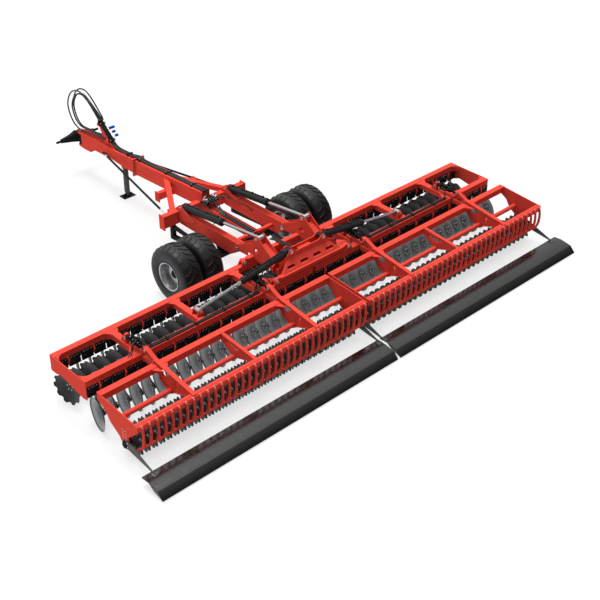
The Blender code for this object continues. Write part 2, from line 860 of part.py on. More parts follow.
def hitch_bar(dark):
    """Cross shaft for the tractor's lower links, on a block that swivels."""
    low, high = 0.706, 0.954
    pieces = [
        rod((0, swivel_y, low), (0, swivel_y, high), 0.075, 12),
        box((-0.06, 0.06), (swivel_y, hitch_y), (low + 0.03, high - 0.03)),
    ]
    for side in (-1, 1):
        pieces.append(
            bar((0, hitch_y, hitch_z), (side * 0.40, hitch_y, hitch_z), 0.08, 0.12)
        )
        pieces.append(
            rod(
                (side * 0.35, hitch_y, hitch_z),
                (side * hitch_half, hitch_y, hitch_z),
                hitch_pin_radius,
            )
        )
        pieces.append(
            box(
                (side * 0.40, side * 0.42),
                (hitch_y - 0.038, hitch_y + 0.038),
                (hitch_z - 0.075, hitch_z + 0.075),
            )
        )
    hole = around(lift_pin_radius, 12)
    cuts = [rod((0, swivel_y, 0.5), (0, swivel_y, 1.1), hole, 12)]
    node("hitch_bar", dark, pieces, cuts, origin=(0, swivel_y, hitch_z))


def hose_mast(paint):
    """Leaning post that carries the hoses between drawbar and tractor."""
    foot = Vector((0, 6.50, 1.065))
    head = Vector((0, 6.93, 1.43))
    pieces = [
        bar(foot, head, 0.08, 0.05, (0, -1, 1)),
        box((-0.075, 0.075), (head[1] - 0.03, head[1] + 0.05), (head[2] - 0.02, head[2] + 0.03)),
        box((-0.05, 0.05), (6.40, 6.57), (1.04 + seat_gap, 1.06)),
        box((-0.075, 0.075), (6.60, 6.68), (1.11, 1.21)),
    ]
    node("hose_mast", paint, pieces)


def axle_frame(dark):
    """Black frame under the chassis with the wheel stubs."""
    half = 0.07
    z = tyre_radius
    top = cross_low - seat_gap
    pieces = [box((-0.90, 0.90), (wheel_y - half, wheel_y + half), (z - half, z + half))]
    for side in (-1, 1):
        pieces.append(
            rod((side * 0.80, wheel_y, z), (side * (wheel_x + 0.2), wheel_y, z), stub_radius, 12)
        )
        x = side * 0.78
        pieces.append(box((x - 0.04, x + 0.04), (cross_y - 0.05, cross_y + 0.04), (0.42, top)))
        pieces.append(bar((x, cross_y, 0.46), (x, wheel_y, z - 0.02), 0.07, 0.09))
        pieces.append(bar((x, cross_y - 0.02, 0.70), (x, wheel_y + 0.02, z + 0.02), 0.06, 0.06))
        bracket = [
            (wheel_y - 0.04, z),
            (wheel_y + 0.06, z),
            (wheel_y + 0.14, beam_low - seat_gap),
            (lift_y + 0.22, beam_low - seat_gap),
        ]
        centre = side * beam_x
        pieces.append(slab(bracket, "X", centre - 0.05, centre + 0.05))
    node("axle_frame", dark, pieces)


def tie_rod(side, dark):
    """Stay from the drawbar head to the crossbeam."""
    start = Vector((drawbar_half + 0.018, 6.71, 0.84))
    end = Vector((0.80, cross_y + cross_half + 0.03, 0.86))
    pieces = [
        rod(start, end, 0.017),
        box(
            (drawbar_half + seat_gap, drawbar_half + 0.034),
            (6.65, 6.77),
            (0.81, 0.87),
        ),
        box(
            (0.765, 0.835),
            (cross_y + cross_half + seat_gap, cross_y + cross_half + 0.07),
            (0.82, 0.90),
        ),
    ]
    node(f"tie_rod_{side_name(side)}", dark, pieces, side=side)


# --- wheels --------------------------------------------------------------


def tyre(side, place, offset, rubber):
    half = tyre_width / 2
    inner = rim_radius + seat_gap
    profile = [
        (-half + 0.04, inner),
        (-half + 0.01, inner + 0.05),
        (-half, inner + 0.15),
        (-half + 0.015, tyre_radius - 0.045),
        (-half + 0.06, tyre_radius),
        (half - 0.06, tyre_radius),
        (half - 0.015, tyre_radius - 0.045),
        (half, inner + 0.15),
        (half - 0.01, inner + 0.05),
        (half - 0.04, inner),
    ]
    centre = (wheel_x + offset, wheel_y, tyre_radius)
    item = turned(profile, centre, wheel_steps)
    node(f"tyre_{side_name(side)}_{place}", rubber, [item], side=side, origin=centre)


def wheel_hub(side, steel):
    """Two rims on one hub, bored for the axle stub."""
    half = tyre_width / 2 - 0.025
    spread = twin_spacing / 2
    lip = rim_radius - 0.03
    hub = 0.13
    web = 0.012
    profile = [(-spread - 0.06, 0)]
    for centre in (-spread, spread):
        profile += [
            (centre - (0.06 if centre < 0 else web), hub),
            (centre - web, hub),
            (centre - web, lip),
            (centre - half, lip),
            (centre - half, rim_radius),
            (centre + half, rim_radius),
            (centre + half, lip),
            (centre + web, lip),
            (centre + web, hub),
        ]
    profile += [(spread + 0.06, hub), (spread + 0.06, 0)]
    cleaned = [point for i, point in enumerate(profile) if point != profile[i - 1]]
    centre = Vector((wheel_x, wheel_y, tyre_radius))
    item = turned(cleaned, centre, wheel_steps)
    bore = rod(
        centre - Vector((0.5, 0, 0)),
        centre + Vector((0.22, 0, 0)),
        around(stub_radius, wheel_steps),
        wheel_steps,
    )
    node(f"wheel_{side_name(side)}", steel, [item], [bore], side=side, origin=centre)


# --- hoses ---------------------------------------------------------------


def smooth(points, step):
    """Points every step along a smooth curve through the given points."""
    points = [Vector(p) for p in points]
    points = [points[0] * 2 - points[1]] + points + [points[-1] * 2 - points[-2]]
    path = []
    for a, b, c, d in zip(points, points[1:], points[2:], points[3:]):
        count = max(2, round((c - b).length / step))
        for i in range(count):
            t = i / count
            value = 2 * b + (c - a) * t + (2 * a - 5 * b + 4 * c - d) * t * t
            path.append((value + (3 * b - a - 3 * c + d) * t * t * t) / 2)
    return path + [points[-2]]


def hose(name, route, rubber):
    curve = bpy.data.curves.new(name, "CURVE")
    curve.dimensions = "3D"
    curve.bevel_depth = hose_radius
    curve.bevel_resolution = 2
    curve.use_fill_caps = True
    path = smooth(route, 0.11)
    spline = curve.splines.new("POLY")
    spline.points.add(len(path) - 1)
    for point, place in zip(spline.points, path):
        point.co = (*place, 1)
    item = scratch_object(name, curve)
    bpy.context.view_layer.update()
    node(name, rubber, [bake(item)])


def hose_loops(rubber):
    """Free hose loops between the mast's head and its lower bracket, two large and two small."""
    for name, x in hose_spots.items():
        route = [(x, 6.94, 1.46 + seat_gap), (x, 6.94, 1.52), (x, 6.94, 1.58)]
        bow = [
            (1.1, 7.31, 1.90),
            (1.2, 7.58, 2.00),
            (1.3, 7.88, 1.88),
            (1.3, 8.06, 1.56),
            (1.2, 7.98, 1.24),
            (1.1, 7.76, 1.08),
            (1.0, 7.42, 1.09),
        ]
        share = 0.86 if name.startswith("inner") else 1
        for spread, y, z in bow:
            route.append((x * spread, 7.40 + (y - 7.40) * share, 1.42 + (z - 1.42) * share))
        route += [(x, 6.95, 1.16), (x, 6.80, 1.16), (x, 6.68 + seat_gap, 1.16)]
        hose(f"hose_loop_{name}", route, rubber)


def build():
    clear_scene()
    bpy.data.objects.new("harrow", None)
    harrow = bpy.data.objects["harrow"]
    bpy.context.scene.collection.objects.link(harrow)

    red = make_material("red_paint", (0.67, 0.035, 0.02), 0.4, 0.0)
    black = make_material("black_paint", (0.015, 0.015, 0.016), 0.5, 0.0)
    disc_steel = make_material("disc_steel", (0.13, 0.14, 0.14), 0.4, 0.8)
    roller_steel = make_material("roller_steel", (0.03, 0.032, 0.034), 0.5, 0.6)
    board_steel = make_material("board_steel", (0.035, 0.035, 0.037), 0.3, 0.5)
    rim_steel = make_material("rim_steel", (0.45, 0.46, 0.47), 0.35, 0.8)
    chrome = make_material("chrome_rod", (0.7, 0.71, 0.72), 0.15, 1.0)
    rubber = make_material("tyre_rubber", (0.012, 0.012, 0.013), 0.8, 0.0)

    drawbar_neck(red)
    rear_drawbar(red)
    crossbeam(red)
    hose_mast(red)
    axle_frame(black)
    hitch_bar(black)
    parking_stand(black)
    hose_loops(rubber)
    centre_frame(red)
    for side in (-1, 1):
        name = side_name(side)
        main_beam(side, red)
        tie_rod(side, black)
        tyre(side, "outer", twin_spacing / 2, rubber)
        tyre(side, "inner", -twin_spacing / 2, rubber)
        wheel_hub(side, rim_steel)
        tower(side, red)
        lift_cylinder(side, (black, chrome))
        fold_cylinder(side, (black, chrome))
        front_frame(side, red)
        packer_frame(side, red)
        disc_row(f"disc_row_front_{name}", disc_steel, side, front_tube_y, -1)
        disc_row(f"disc_row_rear_{name}", disc_steel, side, rear_tube_y, 1)
        roller(side, roller_steel)
        scraper_row(side, red)
        trailing_board(side, board_steel)
        depth_cylinder(side, "inner", brace_x[0], black)
        depth_cylinder(side, "outer", brace_x[2], black)
    harrow.location = (0, -middle_y, 0)


build()
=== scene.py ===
import math

import bmesh
import bpy
from mathutils import Matrix, Vector


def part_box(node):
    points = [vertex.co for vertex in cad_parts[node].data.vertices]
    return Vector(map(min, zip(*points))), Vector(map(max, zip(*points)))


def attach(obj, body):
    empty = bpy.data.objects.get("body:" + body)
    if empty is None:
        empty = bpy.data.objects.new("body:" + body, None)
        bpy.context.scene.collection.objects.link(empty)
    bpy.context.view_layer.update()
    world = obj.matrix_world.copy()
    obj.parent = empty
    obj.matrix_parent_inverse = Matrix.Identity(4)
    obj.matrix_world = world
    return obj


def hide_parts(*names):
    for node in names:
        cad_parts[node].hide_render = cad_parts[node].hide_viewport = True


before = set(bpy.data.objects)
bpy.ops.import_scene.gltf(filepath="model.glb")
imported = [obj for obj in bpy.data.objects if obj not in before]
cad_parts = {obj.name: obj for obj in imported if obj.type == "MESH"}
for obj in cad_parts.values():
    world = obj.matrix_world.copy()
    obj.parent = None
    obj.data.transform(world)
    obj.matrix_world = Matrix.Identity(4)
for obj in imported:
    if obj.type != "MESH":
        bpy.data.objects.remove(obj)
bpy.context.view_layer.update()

# The CAD counts y from the front face of the packer frame.
# The hitch bar tells how far that is from the origin.
hitchFront = 7.97
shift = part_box("hitch_bar")[1].y - hitchFront

# Main lines of the machine, in metres, as the CAD has them.
lines = {
    "halfWidth": 5.0,
    "tubeTop": 0.91,
    "tube": 0.12,
    "frontTube": 1.26,
    "rearTube": 0.375,
    "discPitch": 0.25,
    "discs": 20,
    "beamBack": -1.046,
    "beamTop": 0.83,
    "rollerY": -0.685,
    "rollerZ": 0.275,
    "ringStart": 0.10,
    "ringPitch": 4.83 / 34,
    "rings": 34,
    "wheelX": 1.42,
    "wheelY": 2.25,
    "wheelZ": 0.58,
    "twin": 0.50,
    "beamX": 0.57,
    "depthArms": (1.2, 3.87),
    "floorGap": 0.002,
}


def sideName(side):
    return "right" if side > 0 else "left"


# place in metres, angles in degrees, lens in millimetres
camera = {"place": (-12.164, -15.132, 11.969), "yaw": 43.625, "pitch": 34.19, "roll": 0.55, "lens": 67.78}


def makeCamera():
    yaw, pitch, roll = (math.radians(camera[k]) for k in ("yaw", "pitch", "roll"))
    ahead = Vector((math.sin(yaw) * math.cos(pitch), math.cos(yaw) * math.cos(pitch), -math.sin(pitch)))
    level = Vector((math.cos(yaw), -math.sin(yaw), 0))
    right = level * math.cos(roll) + level.cross(ahead) * math.sin(roll)
    up = right.cross(ahead)
    data = bpy.data.cameras.new("camera")
    data.lens = camera["lens"]
    data.clip_end = 200
    item = bpy.data.objects.new("camera", data)
    turn = Matrix((right, up, -ahead)).transposed().to_4x4()
    item.matrix_world = Matrix.Translation(camera["place"]) @ turn
    bpy.context.scene.collection.objects.link(item)
    bpy.context.scene.camera = item


makeCamera()
bpy.context.scene.view_settings.view_transform = "Standard"
print("camera ready")


class Wire:
    # one output socket, so that shader maths reads as plain sums

    def __init__(self, finish, socket):
        self.finish = finish
        self.socket = socket

    def maths(self, operation, first, second):
        return self.finish.add("ShaderNodeMath", {"operation": operation}, {0: first, 1: second})

    def __add__(self, other):
        return self.maths("ADD", self, other)

    def __sub__(self, other):
        return self.maths("SUBTRACT", self, other)

    def __rsub__(self, other):
        return self.maths("SUBTRACT", other, self)

    def __mul__(self, other):
        return self.maths("MULTIPLY", self, other)

    __radd__ = __add__
    __rmul__ = __mul__


class Finish:
    # one material; add() makes a node from its type, settings and inputs

    def __init__(self, name, viewColor):
        self.material = bpy.data.materials.new(name)
        self.material.use_nodes = True
        self.material.diffuse_color = (*viewColor, 1)
        self.tree = self.material.node_tree
        self.shader = self.tree.nodes["Principled BSDF"]

    def join(self, value, socket):
        if isinstance(value, Wire):
            self.tree.links.new(value.socket, socket)
        elif isinstance(value, tuple) and len(value) == 3 and socket.type == "RGBA":
            socket.default_value = (*value, 1)
        else:
            socket.default_value = value

    def add(self, kind, settings=None, inputs=None, output=0):
        node = self.tree.nodes.new(kind)
        for key, value in (settings or {}).items():
            if key == "stops":
                ramp = node.color_ramp
                while len(ramp.elements) < len(value):
                    ramp.elements.new(0.5)
                for element, (place, shade) in zip(ramp.elements, value):
                    element.position = place
                    element.color = (shade, shade, shade, 1)
            else:
                setattr(node, key, value)
        for key, value in (inputs or {}).items():
            self.join(value, node.inputs[key])
        return Wire(self, node.outputs[output])

    def place(self):
        return self.add("ShaderNodeTexCoord", output="Object")

    def noise(self, scale, detail=3.0, stretch=None, rough=0.5):
        spot = self.place()
        if stretch:
            spot = self.add("ShaderNodeVectorMath", {"operation": "MULTIPLY"}, {0: spot, 1: stretch})
        inputs = {"Vector": spot, "Scale": scale, "Detail": detail, "Roughness": rough}
        return self.add("ShaderNodeTexNoise", None, inputs, "Fac")

    def ramp(self, value, *stops):
        return self.add("ShaderNodeValToRGB", {"stops": stops}, {"Fac": value})

    def blend(self, factor, first, second):
        inputs = {"Factor": factor, "A": first, "B": second}
        node = self.tree.nodes.new("ShaderNodeMix")
        node.data_type = "RGBA"
        for key, value in inputs.items():
            socket = next(s for s in node.inputs if s.name == key and (key == "Factor" or s.type == "RGBA"))
            self.join(value, socket)
        return Wire(self, next(s for s in node.outputs if s.type == "RGBA"))

    def bump(self, height, strength, distance):
        inputs = {"Height": height, "Strength": strength, "Distance": distance}
        return self.add("ShaderNodeBump", None, inputs, "Normal")

    def surface(self, **sockets):
        names = {"color": "Base Color", "rough": "Roughness", "metal": "Metallic", "normal": "Normal"}
        names |= {"coat": "Coat Weight", "coatRough": "Coat Roughness", "specular": "Specular IOR Level"}
        for key, value in sockets.items():
            self.join(value, self.shader.inputs[names[key]])
        return self.material


# Base colours are linear.
paint = {
    "red": (0.70, 0.069, 0.048),
    "redDusty": (0.65, 0.064, 0.045),
    "black": (0.013, 0.013, 0.014),
    "cylinder": (0.022, 0.023, 0.024),
    "arm": (0.16, 0.165, 0.17),
    "leg": (0.075, 0.078, 0.08),
    "blue": (0.004, 0.09, 0.62),
}


def enamel(name, color, dusty, rough, coat):
    # sprayed enamel: faint orange peel, a slow drift in tone, and a duller bloom in patches
    made = Finish(name, color)
    drift = made.noise(1.7, 4.0)
    bloom = made.ramp(made.noise(5.0, 6.0), (0.42, 0.0), (0.78, 1.0))
    tone = made.blend(bloom * 0.55, color, dusty)
    peel = made.noise(260.0, 1.0)
    fine = made.noise(38.0, 2.0)
    height = peel * 0.6 + fine * 0.4
    return made.surface(
        color=tone,
        rough=rough + (drift - 0.5) * 0.12 + bloom * 0.08,
        normal=made.bump(height, 0.08, 0.001),
        coat=coat,
        coatRough=0.2,
        specular=0.0,
    )


def bareSteel(name, color, darker, rough, metal, stretch, scratch=0.06):
    # rolled or turned steel: fine lines along one direction over mottled mill scale
    made = Finish(name, color)
    grain = made.noise(60.0, 3.0, stretch)
    scale = made.ramp(made.noise(11.0, 6.0, None, 0.62), (0.38, 0.0), (0.66, 1.0))
    tone = made.blend(scale, color, darker)
    shade = made.blend(grain * 0.35, tone, tuple(c * 1.35 for c in color))
    return made.surface(
        color=shade,
        rough=rough + (grain - 0.5) * 0.16 + scale * 0.10,
        metal=metal,
        normal=made.bump(grain, scratch, 0.0008),
    )


def discSteelPaintedShading(name, color, darker, rough):
    # turned rings run round each disc; painted shade darkens the dish by the hub, a painted highlight pales
    # it towards the rim, and painted shade darkens its edge
    made = Finish(name, color)
    uv = made.add("ShaderNodeTexCoord", output="UV")
    parts = made.tree.nodes.new("ShaderNodeSeparateXYZ")
    made.join(uv, parts.inputs[0])
    radius = Wire(made, parts.outputs["Y"])
    spot = made.add("ShaderNodeVectorMath", {"operation": "MULTIPLY"}, {0: uv, 1: (1.5, 160.0, 1.0)})
    rings = made.add("ShaderNodeTexNoise", None, {"Vector": spot, "Scale": 1.0, "Detail": 3.0}, "Fac")
    patches = made.ramp(made.noise(9.0, 5.0), (0.36, 0.0), (0.7, 1.0))
    # painted shade by the hub and painted highlight towards the rim, drawn in for the dish's reflection
    dish = made.ramp(radius, (0.38, 0.0), (0.84, 1.0))
    # painted shade along the disc's edge
    rim = made.ramp(radius, (0.84, 0.0), (0.93, 1.0))
    tone = made.blend(patches * 0.2, color, darker)
    tone = made.blend(dish, darker, tone)
    tone = made.blend(dish * 0.6, tone, tuple(min(1.0, c * 1.9) for c in color))
    tone = made.blend(rim * 0.8, tone, tuple(c * 0.5 for c in darker))
    return made.surface(
        color=tone,
        rough=rough + (rings - 0.5) * 0.10 + patches * 0.04,
        metal=0.6,
        normal=made.bump(rings, 0.05, 0.001),
    )


def rubber(name, color, rough):
    made = Finish(name, color)
    fine = made.noise(420.0, 2.0)
    dusty = made.ramp(made.noise(7.0, 5.0), (0.45, 0.0), (0.75, 1.0))
    tone = made.blend(dusty * 0.35, color, tuple(c * 2.6 for c in color))
    return made.surface(
        color=tone,
        rough=rough + (fine - 0.5) * 0.12,
        normal=made.bump(fine, 0.12, 0.0006),
        specular=0.35,
    )


def makeFinishes():
    return {
        "red": enamel("redEnamel", paint["red"], paint["redDusty"], 0.46, 0.0),
        "black": enamel("blackEnamel", paint["black"], (0.026, 0.026, 0.027), 0.42, 0.1),
        "cylinder": enamel("cylinderEnamel", paint["cylinder"], (0.034, 0.035, 0.036), 0.36, 0.2),
        "leg": enamel("legEnamel", paint["leg"], (0.1, 0.1, 0.1), 0.4, 0.1),
        "arm": bareSteel("castArm", paint["arm"], (0.10, 0.103, 0.106), 0.42, 0.6, (1, 1, 3)),
        # painted shade: the notched discs are made near black for the shadow under the frame, far darker than
        # the smooth discs' steel
        "notched": discSteelPaintedShading("notchedDiscPaintedShade", (0.018, 0.019, 0.020), (0.011, 0.011, 0.012), 0.36),
        "smooth": discSteelPaintedShading("smoothDisc", (0.19, 0.195, 0.20), (0.055, 0.057, 0.059), 0.34),
        # painted shade: the rings and drum are darkened as if in shadow
        "roller": bareSteel(
            "rollerSteelPaintedShade", (0.030, 0.031, 0.032), (0.018, 0.019, 0.019), 0.40, 0.5, (3, 1, 1),
        ),
        # painted light: the teeth are a lighter copy of the rings' steel, as if lit from above
        "tooth": bareSteel("toothSteelPaintedLit", (0.085, 0.088, 0.09), (0.05, 0.052, 0.054), 0.40, 0.6, (1, 1, 1)),
        "board": bareSteel(
            "boardSteel", (0.078, 0.078, 0.078), (0.071, 0.071, 0.071), 0.17, 1.0, (0.2, 5, 5), 0.008,
        ),
        "boardArm": bareSteel("boardArm", (0.055, 0.056, 0.058), (0.035, 0.036, 0.037), 0.40, 0.5, (1, 1, 1)),
        "rim": bareSteel("rimSteel", (0.46, 0.47, 0.48), (0.36, 0.37, 0.38), 0.30, 0.85, (1, 1, 1)),
        "chrome": bareSteel("chromeRod", (0.34, 0.35, 0.36), (0.31, 0.32, 0.33), 0.20, 1.0, (1, 1, 1), 0.0),
        "zinc": bareSteel("zincBolt", (0.62, 0.63, 0.64), (0.50, 0.51, 0.52), 0.26, 0.95, (1, 1, 1)),
        "tyre": rubber("tyreRubber", (0.009, 0.009, 0.010), 0.50),
        "hose": rubber("hoseRubber", (0.006, 0.006, 0.007), 0.42),
        "blue": enamel("blueCap", paint["blue"], (0.01, 0.10, 0.55), 0.35, 0.2),
    }


finishes = makeFinishes()
print(f"{len(finishes)} finishes")


def smoothPath(points, step):
    # points every step along a smooth curve through the given points
    points = [Vector(p) for p in points]
    points = [points[0] * 2 - points[1]] + points + [points[-1] * 2 - points[-2]]
    path = []
    for a, b, c, d in zip(points, points[1:], points[2:], points[3:]):
        count = max(2, round((c - b).length / step))
        for i in range(count):
            t = i / count
            value = 2 * b + (c - a) * t + (2 * a - 5 * b + 4 * c - d) * t * t
            path.append((value + (3 * b - a - 3 * c + d) * t * t * t) / 2)
    return path + [points[-2]]


def pathLength(path):
    return sum((b - a).length for a, b in zip(path, path[1:]))


class Shape:
    # collects the solids of one piece

    def __init__(self):
        self.mesh = bmesh.new()
        self.uv = self.mesh.loops.layers.uv.new("UVMap")

    def moved(self, verts, matrix):
        bmesh.ops.transform(self.mesh, matrix=matrix, verts=verts)
        return verts

    def soften(self, verts, width, segments=2):
        edges = {e for v in verts for e in v.link_edges}
        sharp = [e for e in edges if len(e.link_faces) == 2 and e.calc_face_angle(0) > 0.5]
        bmesh.ops.bevel(
            self.mesh, geom=sharp, offset=width, offset_type="OFFSET", segments=segments, profile=0.5,
            affect="EDGES", clamp_overlap=True,
        )

    def box(self, x, y, z, soft=0.0):
        middle = Vector(((x[0] + x[1]) / 2, (y[0] + y[1]) / 2, (z[0] + z[1]) / 2))
        size = Matrix.Diagonal((abs(x[1] - x[0]), abs(y[1] - y[0]), abs(z[1] - z[0]), 1))
        verts = bmesh.ops.create_cube(self.mesh, size=1)["verts"]
        self.moved(verts, Matrix.Translation(middle) @ size)
        if soft:
            self.soften(verts, soft)

    def bar(self, start, end, width, height, up=(0, 0, 1), soft=0.0):
        start, end = Vector(start), Vector(end)
        along = (end - start).normalized()
        side = along.cross(Vector(up)).normalized()
        turn = Matrix((side, along, side.cross(along))).transposed().to_4x4()
        size = Matrix.Diagonal((width, (end - start).length, height, 1))
        verts = bmesh.ops.create_cube(self.mesh, size=1)["verts"]
        self.moved(verts, Matrix.Translation((start + end) / 2) @ turn @ size)
        if soft:
            self.soften(verts, soft)

    def plate(self, outline, axis, low, high, soft=0.0, holes=()):
        # an outline in the two other axes, as thick as low to high
        def spot(u, v, w):
            return {"X": (w, u, v), "Y": (u, w, v), "Z": (u, v, w)}[axis]

        edges = []
        for loop in (outline, *holes):
            verts = [self.mesh.verts.new(spot(u, v, low)) for u, v in loop]
            edges += [self.mesh.edges.new((a, b)) for a, b in zip(verts, verts[1:] + verts[:1])]
        made = bmesh.ops.triangle_fill(self.mesh, edges=edges, use_beauty=True)["geom"]
        faces = [g for g in made if isinstance(g, bmesh.types.BMFace)]
        grown = bmesh.ops.extrude_face_region(self.mesh, geom=faces, use_keep_orig=True)["geom"]
        verts = [g for g in grown if isinstance(g, bmesh.types.BMVert)]
        step = Vector(spot(0, 0, high)) - Vector(spot(0, 0, low))
        bmesh.ops.translate(self.mesh, vec=step, verts=verts)
        if soft:
            near = {v for e in edges if e.is_valid for v in e.verts} | set(verts)
            self.soften(near, soft, 1)

    def skin(self, rows):
        # joins rows of points into quads and closes both ends
        rows = [[self.mesh.verts.new(p) for p in row] for row in rows]
        for a, b in zip(rows, rows[1:]):
            for i in range(len(a)):
                j = (i + 1) % len(a)
                self.mesh.faces.new((a[i], a[j], b[j], b[i]))
        self.mesh.faces.new(rows[0][::-1])
        self.mesh.faces.new(rows[-1])

    def turned(self, profile, centre, axis=(1, 0, 0), steps=32):
        # turns an open (along, radius) profile about an axis; radius 0 closes an end
        axis = Vector(axis).normalized()
        turn = Vector((1, 0, 0)).rotation_difference(axis)
        centre = Vector(centre)
        rows = []
        for i in range(steps):
            a = 2 * math.pi * i / steps
            rows.append([centre + turn @ Vector((x, r * math.cos(a), r * math.sin(a))) for x, r in profile])
        rows = [[self.mesh.verts.new(p) for p in row] for row in rows]
        for i in range(steps):
            a, b = rows[i], rows[(i + 1) % steps]
            for j in range(len(profile) - 1):
                self.mesh.faces.new((a[j], a[j + 1], b[j + 1], b[j]))
        flat = [v for row in rows for v, (x, r) in zip(row, profile) if r < 1e-6]
        bmesh.ops.remove_doubles(self.mesh, verts=flat, dist=1e-6)

    def rod(self, start, end, radius, sides=16, chamfer=0.003):
        start, end = Vector(start), Vector(end)
        length = (end - start).length
        c = min(chamfer, radius * 0.4, length * 0.3)
        profile = [
            (0, 0), (0, radius - c), (c, radius), (length - c, radius), (length, radius - c),
            (length, 0),
        ]
        self.turned(profile, start, end - start, sides)

    def bolt(self, place, axis, size):
        # washer, hexagon head with a chamfer
        place, axis = Vector(place), Vector(axis).normalized()
        self.turned([(0, 0), (0, size * 1.05), (size * 0.18, size * 1.05), (size * 0.18, 0)], place, axis, 12)
        head = [
            (0, 0), (0, size * 0.86), (size * 0.48, size * 0.86), (size * 0.62, size * 0.7),
            (size * 0.62, 0),
        ]
        self.turned(head, place + axis * size * 0.18, axis, 6)

    def strap(self, path, widths, thick, corner=0.3):
        # a flat bar swept along a path; thick runs along x, widths across it
        side = Vector((1, 0, 0))
        rows = []
        for i, spot in enumerate(path):
            ahead = (path[min(i + 1, len(path) - 1)] - path[max(i - 1, 0)]).normalized()
            across = ahead.cross(side).normalized()
            half = widths[i] / 2
            cut = min(half, thick / 2) * corner
            section = []
            for su, sv in ((1, 1), (-1, 1), (-1, -1), (1, -1)):
                near = (half - cut, thick / 2) if su * sv > 0 else (half, thick / 2 - cut)
                far = (half, thick / 2 - cut) if su * sv > 0 else (half - cut, thick / 2)
                for u, v in (far, near):
                    section.append(spot + across * su * u + side * sv * v)
            rows.append(section)
        self.skin(rows)

    def hose(self, path, radius, sides=10):
        # a round tube along a path, with its section carried along so that it does not twist
        rows = []
        side = None
        for i, spot in enumerate(path):
            ahead = (path[min(i + 1, len(path) - 1)] - path[max(i - 1, 0)]).normalized()
            if side is None:
                side = ahead.orthogonal().normalized()
            side = (side - ahead * side.dot(ahead)).normalized()
            other = ahead.cross(side)
            row = []
            for k in range(sides):
                a = 2 * math.pi * k / sides
                row.append(spot + (side * math.cos(a) + other * math.sin(a)) * radius)
            rows.append(row)
        self.skin(rows)


slots = {
    "red_paint": ("red",),
    "black_paint": ("black", "cylinder", "leg"),
    "disc_steel": ("notched", "smooth", "arm"),
    "roller_steel": ("roller", "tooth"),
    "board_steel": ("board", "boardArm"),
    "rim_steel": ("rim", "zinc"),
    "tyre_rubber": ("tyre",),
    "hose_rubber": ("hose", "blue"),
}


def publish(name, shape, finish, body, side=1, replaces=(), crease=32.0, slot=None):
    # turns a shape into a piece that rides on its body; the slot from its finish, or the one named, is worked
    # out but not used
    slot = slot or next(key for key, members in slots.items() if finish in members)
    mesh = bpy.data.meshes.new(name)
    made = shape.mesh
    if side < 0:
        bmesh.ops.scale(made, vec=(-1, 1, 1), verts=made.verts)
    bmesh.ops.translate(made, vec=(0, shift, 0), verts=made.verts)
    bmesh.ops.recalc_face_normals(made, faces=made.faces)
    limit = math.radians(crease)
    for face in made.faces:
        face.smooth = True
    for edge in made.edges:
        edge.smooth = len(edge.link_faces) == 2 and edge.calc_face_angle(0) < limit
    made.to_mesh(mesh)
    made.free()
    mesh.materials.append(finishes[finish])
    item = bpy.data.objects.new(name, mesh)
    bpy.context.scene.collection.objects.link(item)
    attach(item, body)
    if replaces:
        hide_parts(*replaces)
    return item


def inRow(item, count, step):
    row = item.modifiers.new("row", "ARRAY")
    row.count = count
    row.use_relative_offset = False
    row.use_constant_offset = True
    row.constant_offset_displace = step
    return item


hoseLoop = {
    "radius": 0.016,
    "step": 0.03,
    "seat": 0.0003,
    "innerShare": 0.86,
    "spots": {"left": -0.055, "inner_left": -0.018, "inner_right": 0.018, "right": 0.055},
}


def loopRoute(name, x):
    # up from the mast's head, round a bow ahead of it and back to the lower bracket
    seat = hoseLoop["seat"]
    share = hoseLoop["innerShare"] if name.startswith("inner") else 1
    route = [(x, 6.94, 1.46 + seat), (x, 6.94, 1.52), (x, 6.94, 1.58)]
    bow = [(1.1, 7.31, 1.90), (1.2, 7.58, 2.00), (1.3, 7.88, 1.88), (1.3, 8.06, 1.56)]
    bow += [(1.2, 7.98, 1.24), (1.1, 7.76, 1.08), (1.0, 7.42, 1.09)]
    for spread, y, z in bow:
        route.append((x * spread, 7.40 + (y - 7.40) * share, 1.42 + (z - 1.42) * share))
    return route + [(x, 6.95, 1.16), (x, 6.80, 1.16), (x, 6.68 + seat, 1.16)]


def makeHoseLoops():
    for name, x in hoseLoop["spots"].items():
        path = smoothPath(loopRoute(name, x), hoseLoop["step"])
        path = [p + Vector((0, shift, 0)) for p in path]
        curve = bpy.data.curves.new(f"hose_{name}", "CURVE")
        curve.dimensions = "3D"
        curve.bevel_depth = hoseLoop["radius"]
        curve.bevel_resolution = 4
        curve.use_fill_caps = True
        spline = curve.splines.new("POLY")
        spline.points.add(len(path) - 1)
        for point, spot in zip(spline.points, path):
            point.co = (*spot, 1)
        spline.use_smooth = True
        curve.materials.append(finishes["hose"])
        item = bpy.data.objects.new(f"hose_{name}", curve)
        bpy.context.scene.collection.objects.link(item)
        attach(item, "chassis")
        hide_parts(f"hose_loop_{name}")
        pathLength(path)


makeHoseLoops()
print("hose loops")


# CAD nodes that keep their shape and only take a finish
kept = {
    "red": ("drawbar_neck", "rear_drawbar", "chassis_crossbeam", "hose_mast", "centre_frame"),
    "redPairs": ("main_beam", "lift_tower", "front_frame", "packer_frame"),
    "black": ("axle_frame",),
    "blackPairs": ("tie_rod",),
    "cylinderPairs": ("lift_barrel", "fold_barrel"),
    "chromePairs": ("lift_rod", "fold_rod"),
}


def paintFrame():
    for key, names in kept.items():
        finish = finishes[key.removesuffix("Pairs")]
        ends = ("_left", "_right") if key.endswith("Pairs") else ("",)
        for name in names:
            for end in ends:
                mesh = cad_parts[name + end].data
                mesh.materials.clear()
                mesh.materials.append(finish)


paintFrame()
print("frame painted")


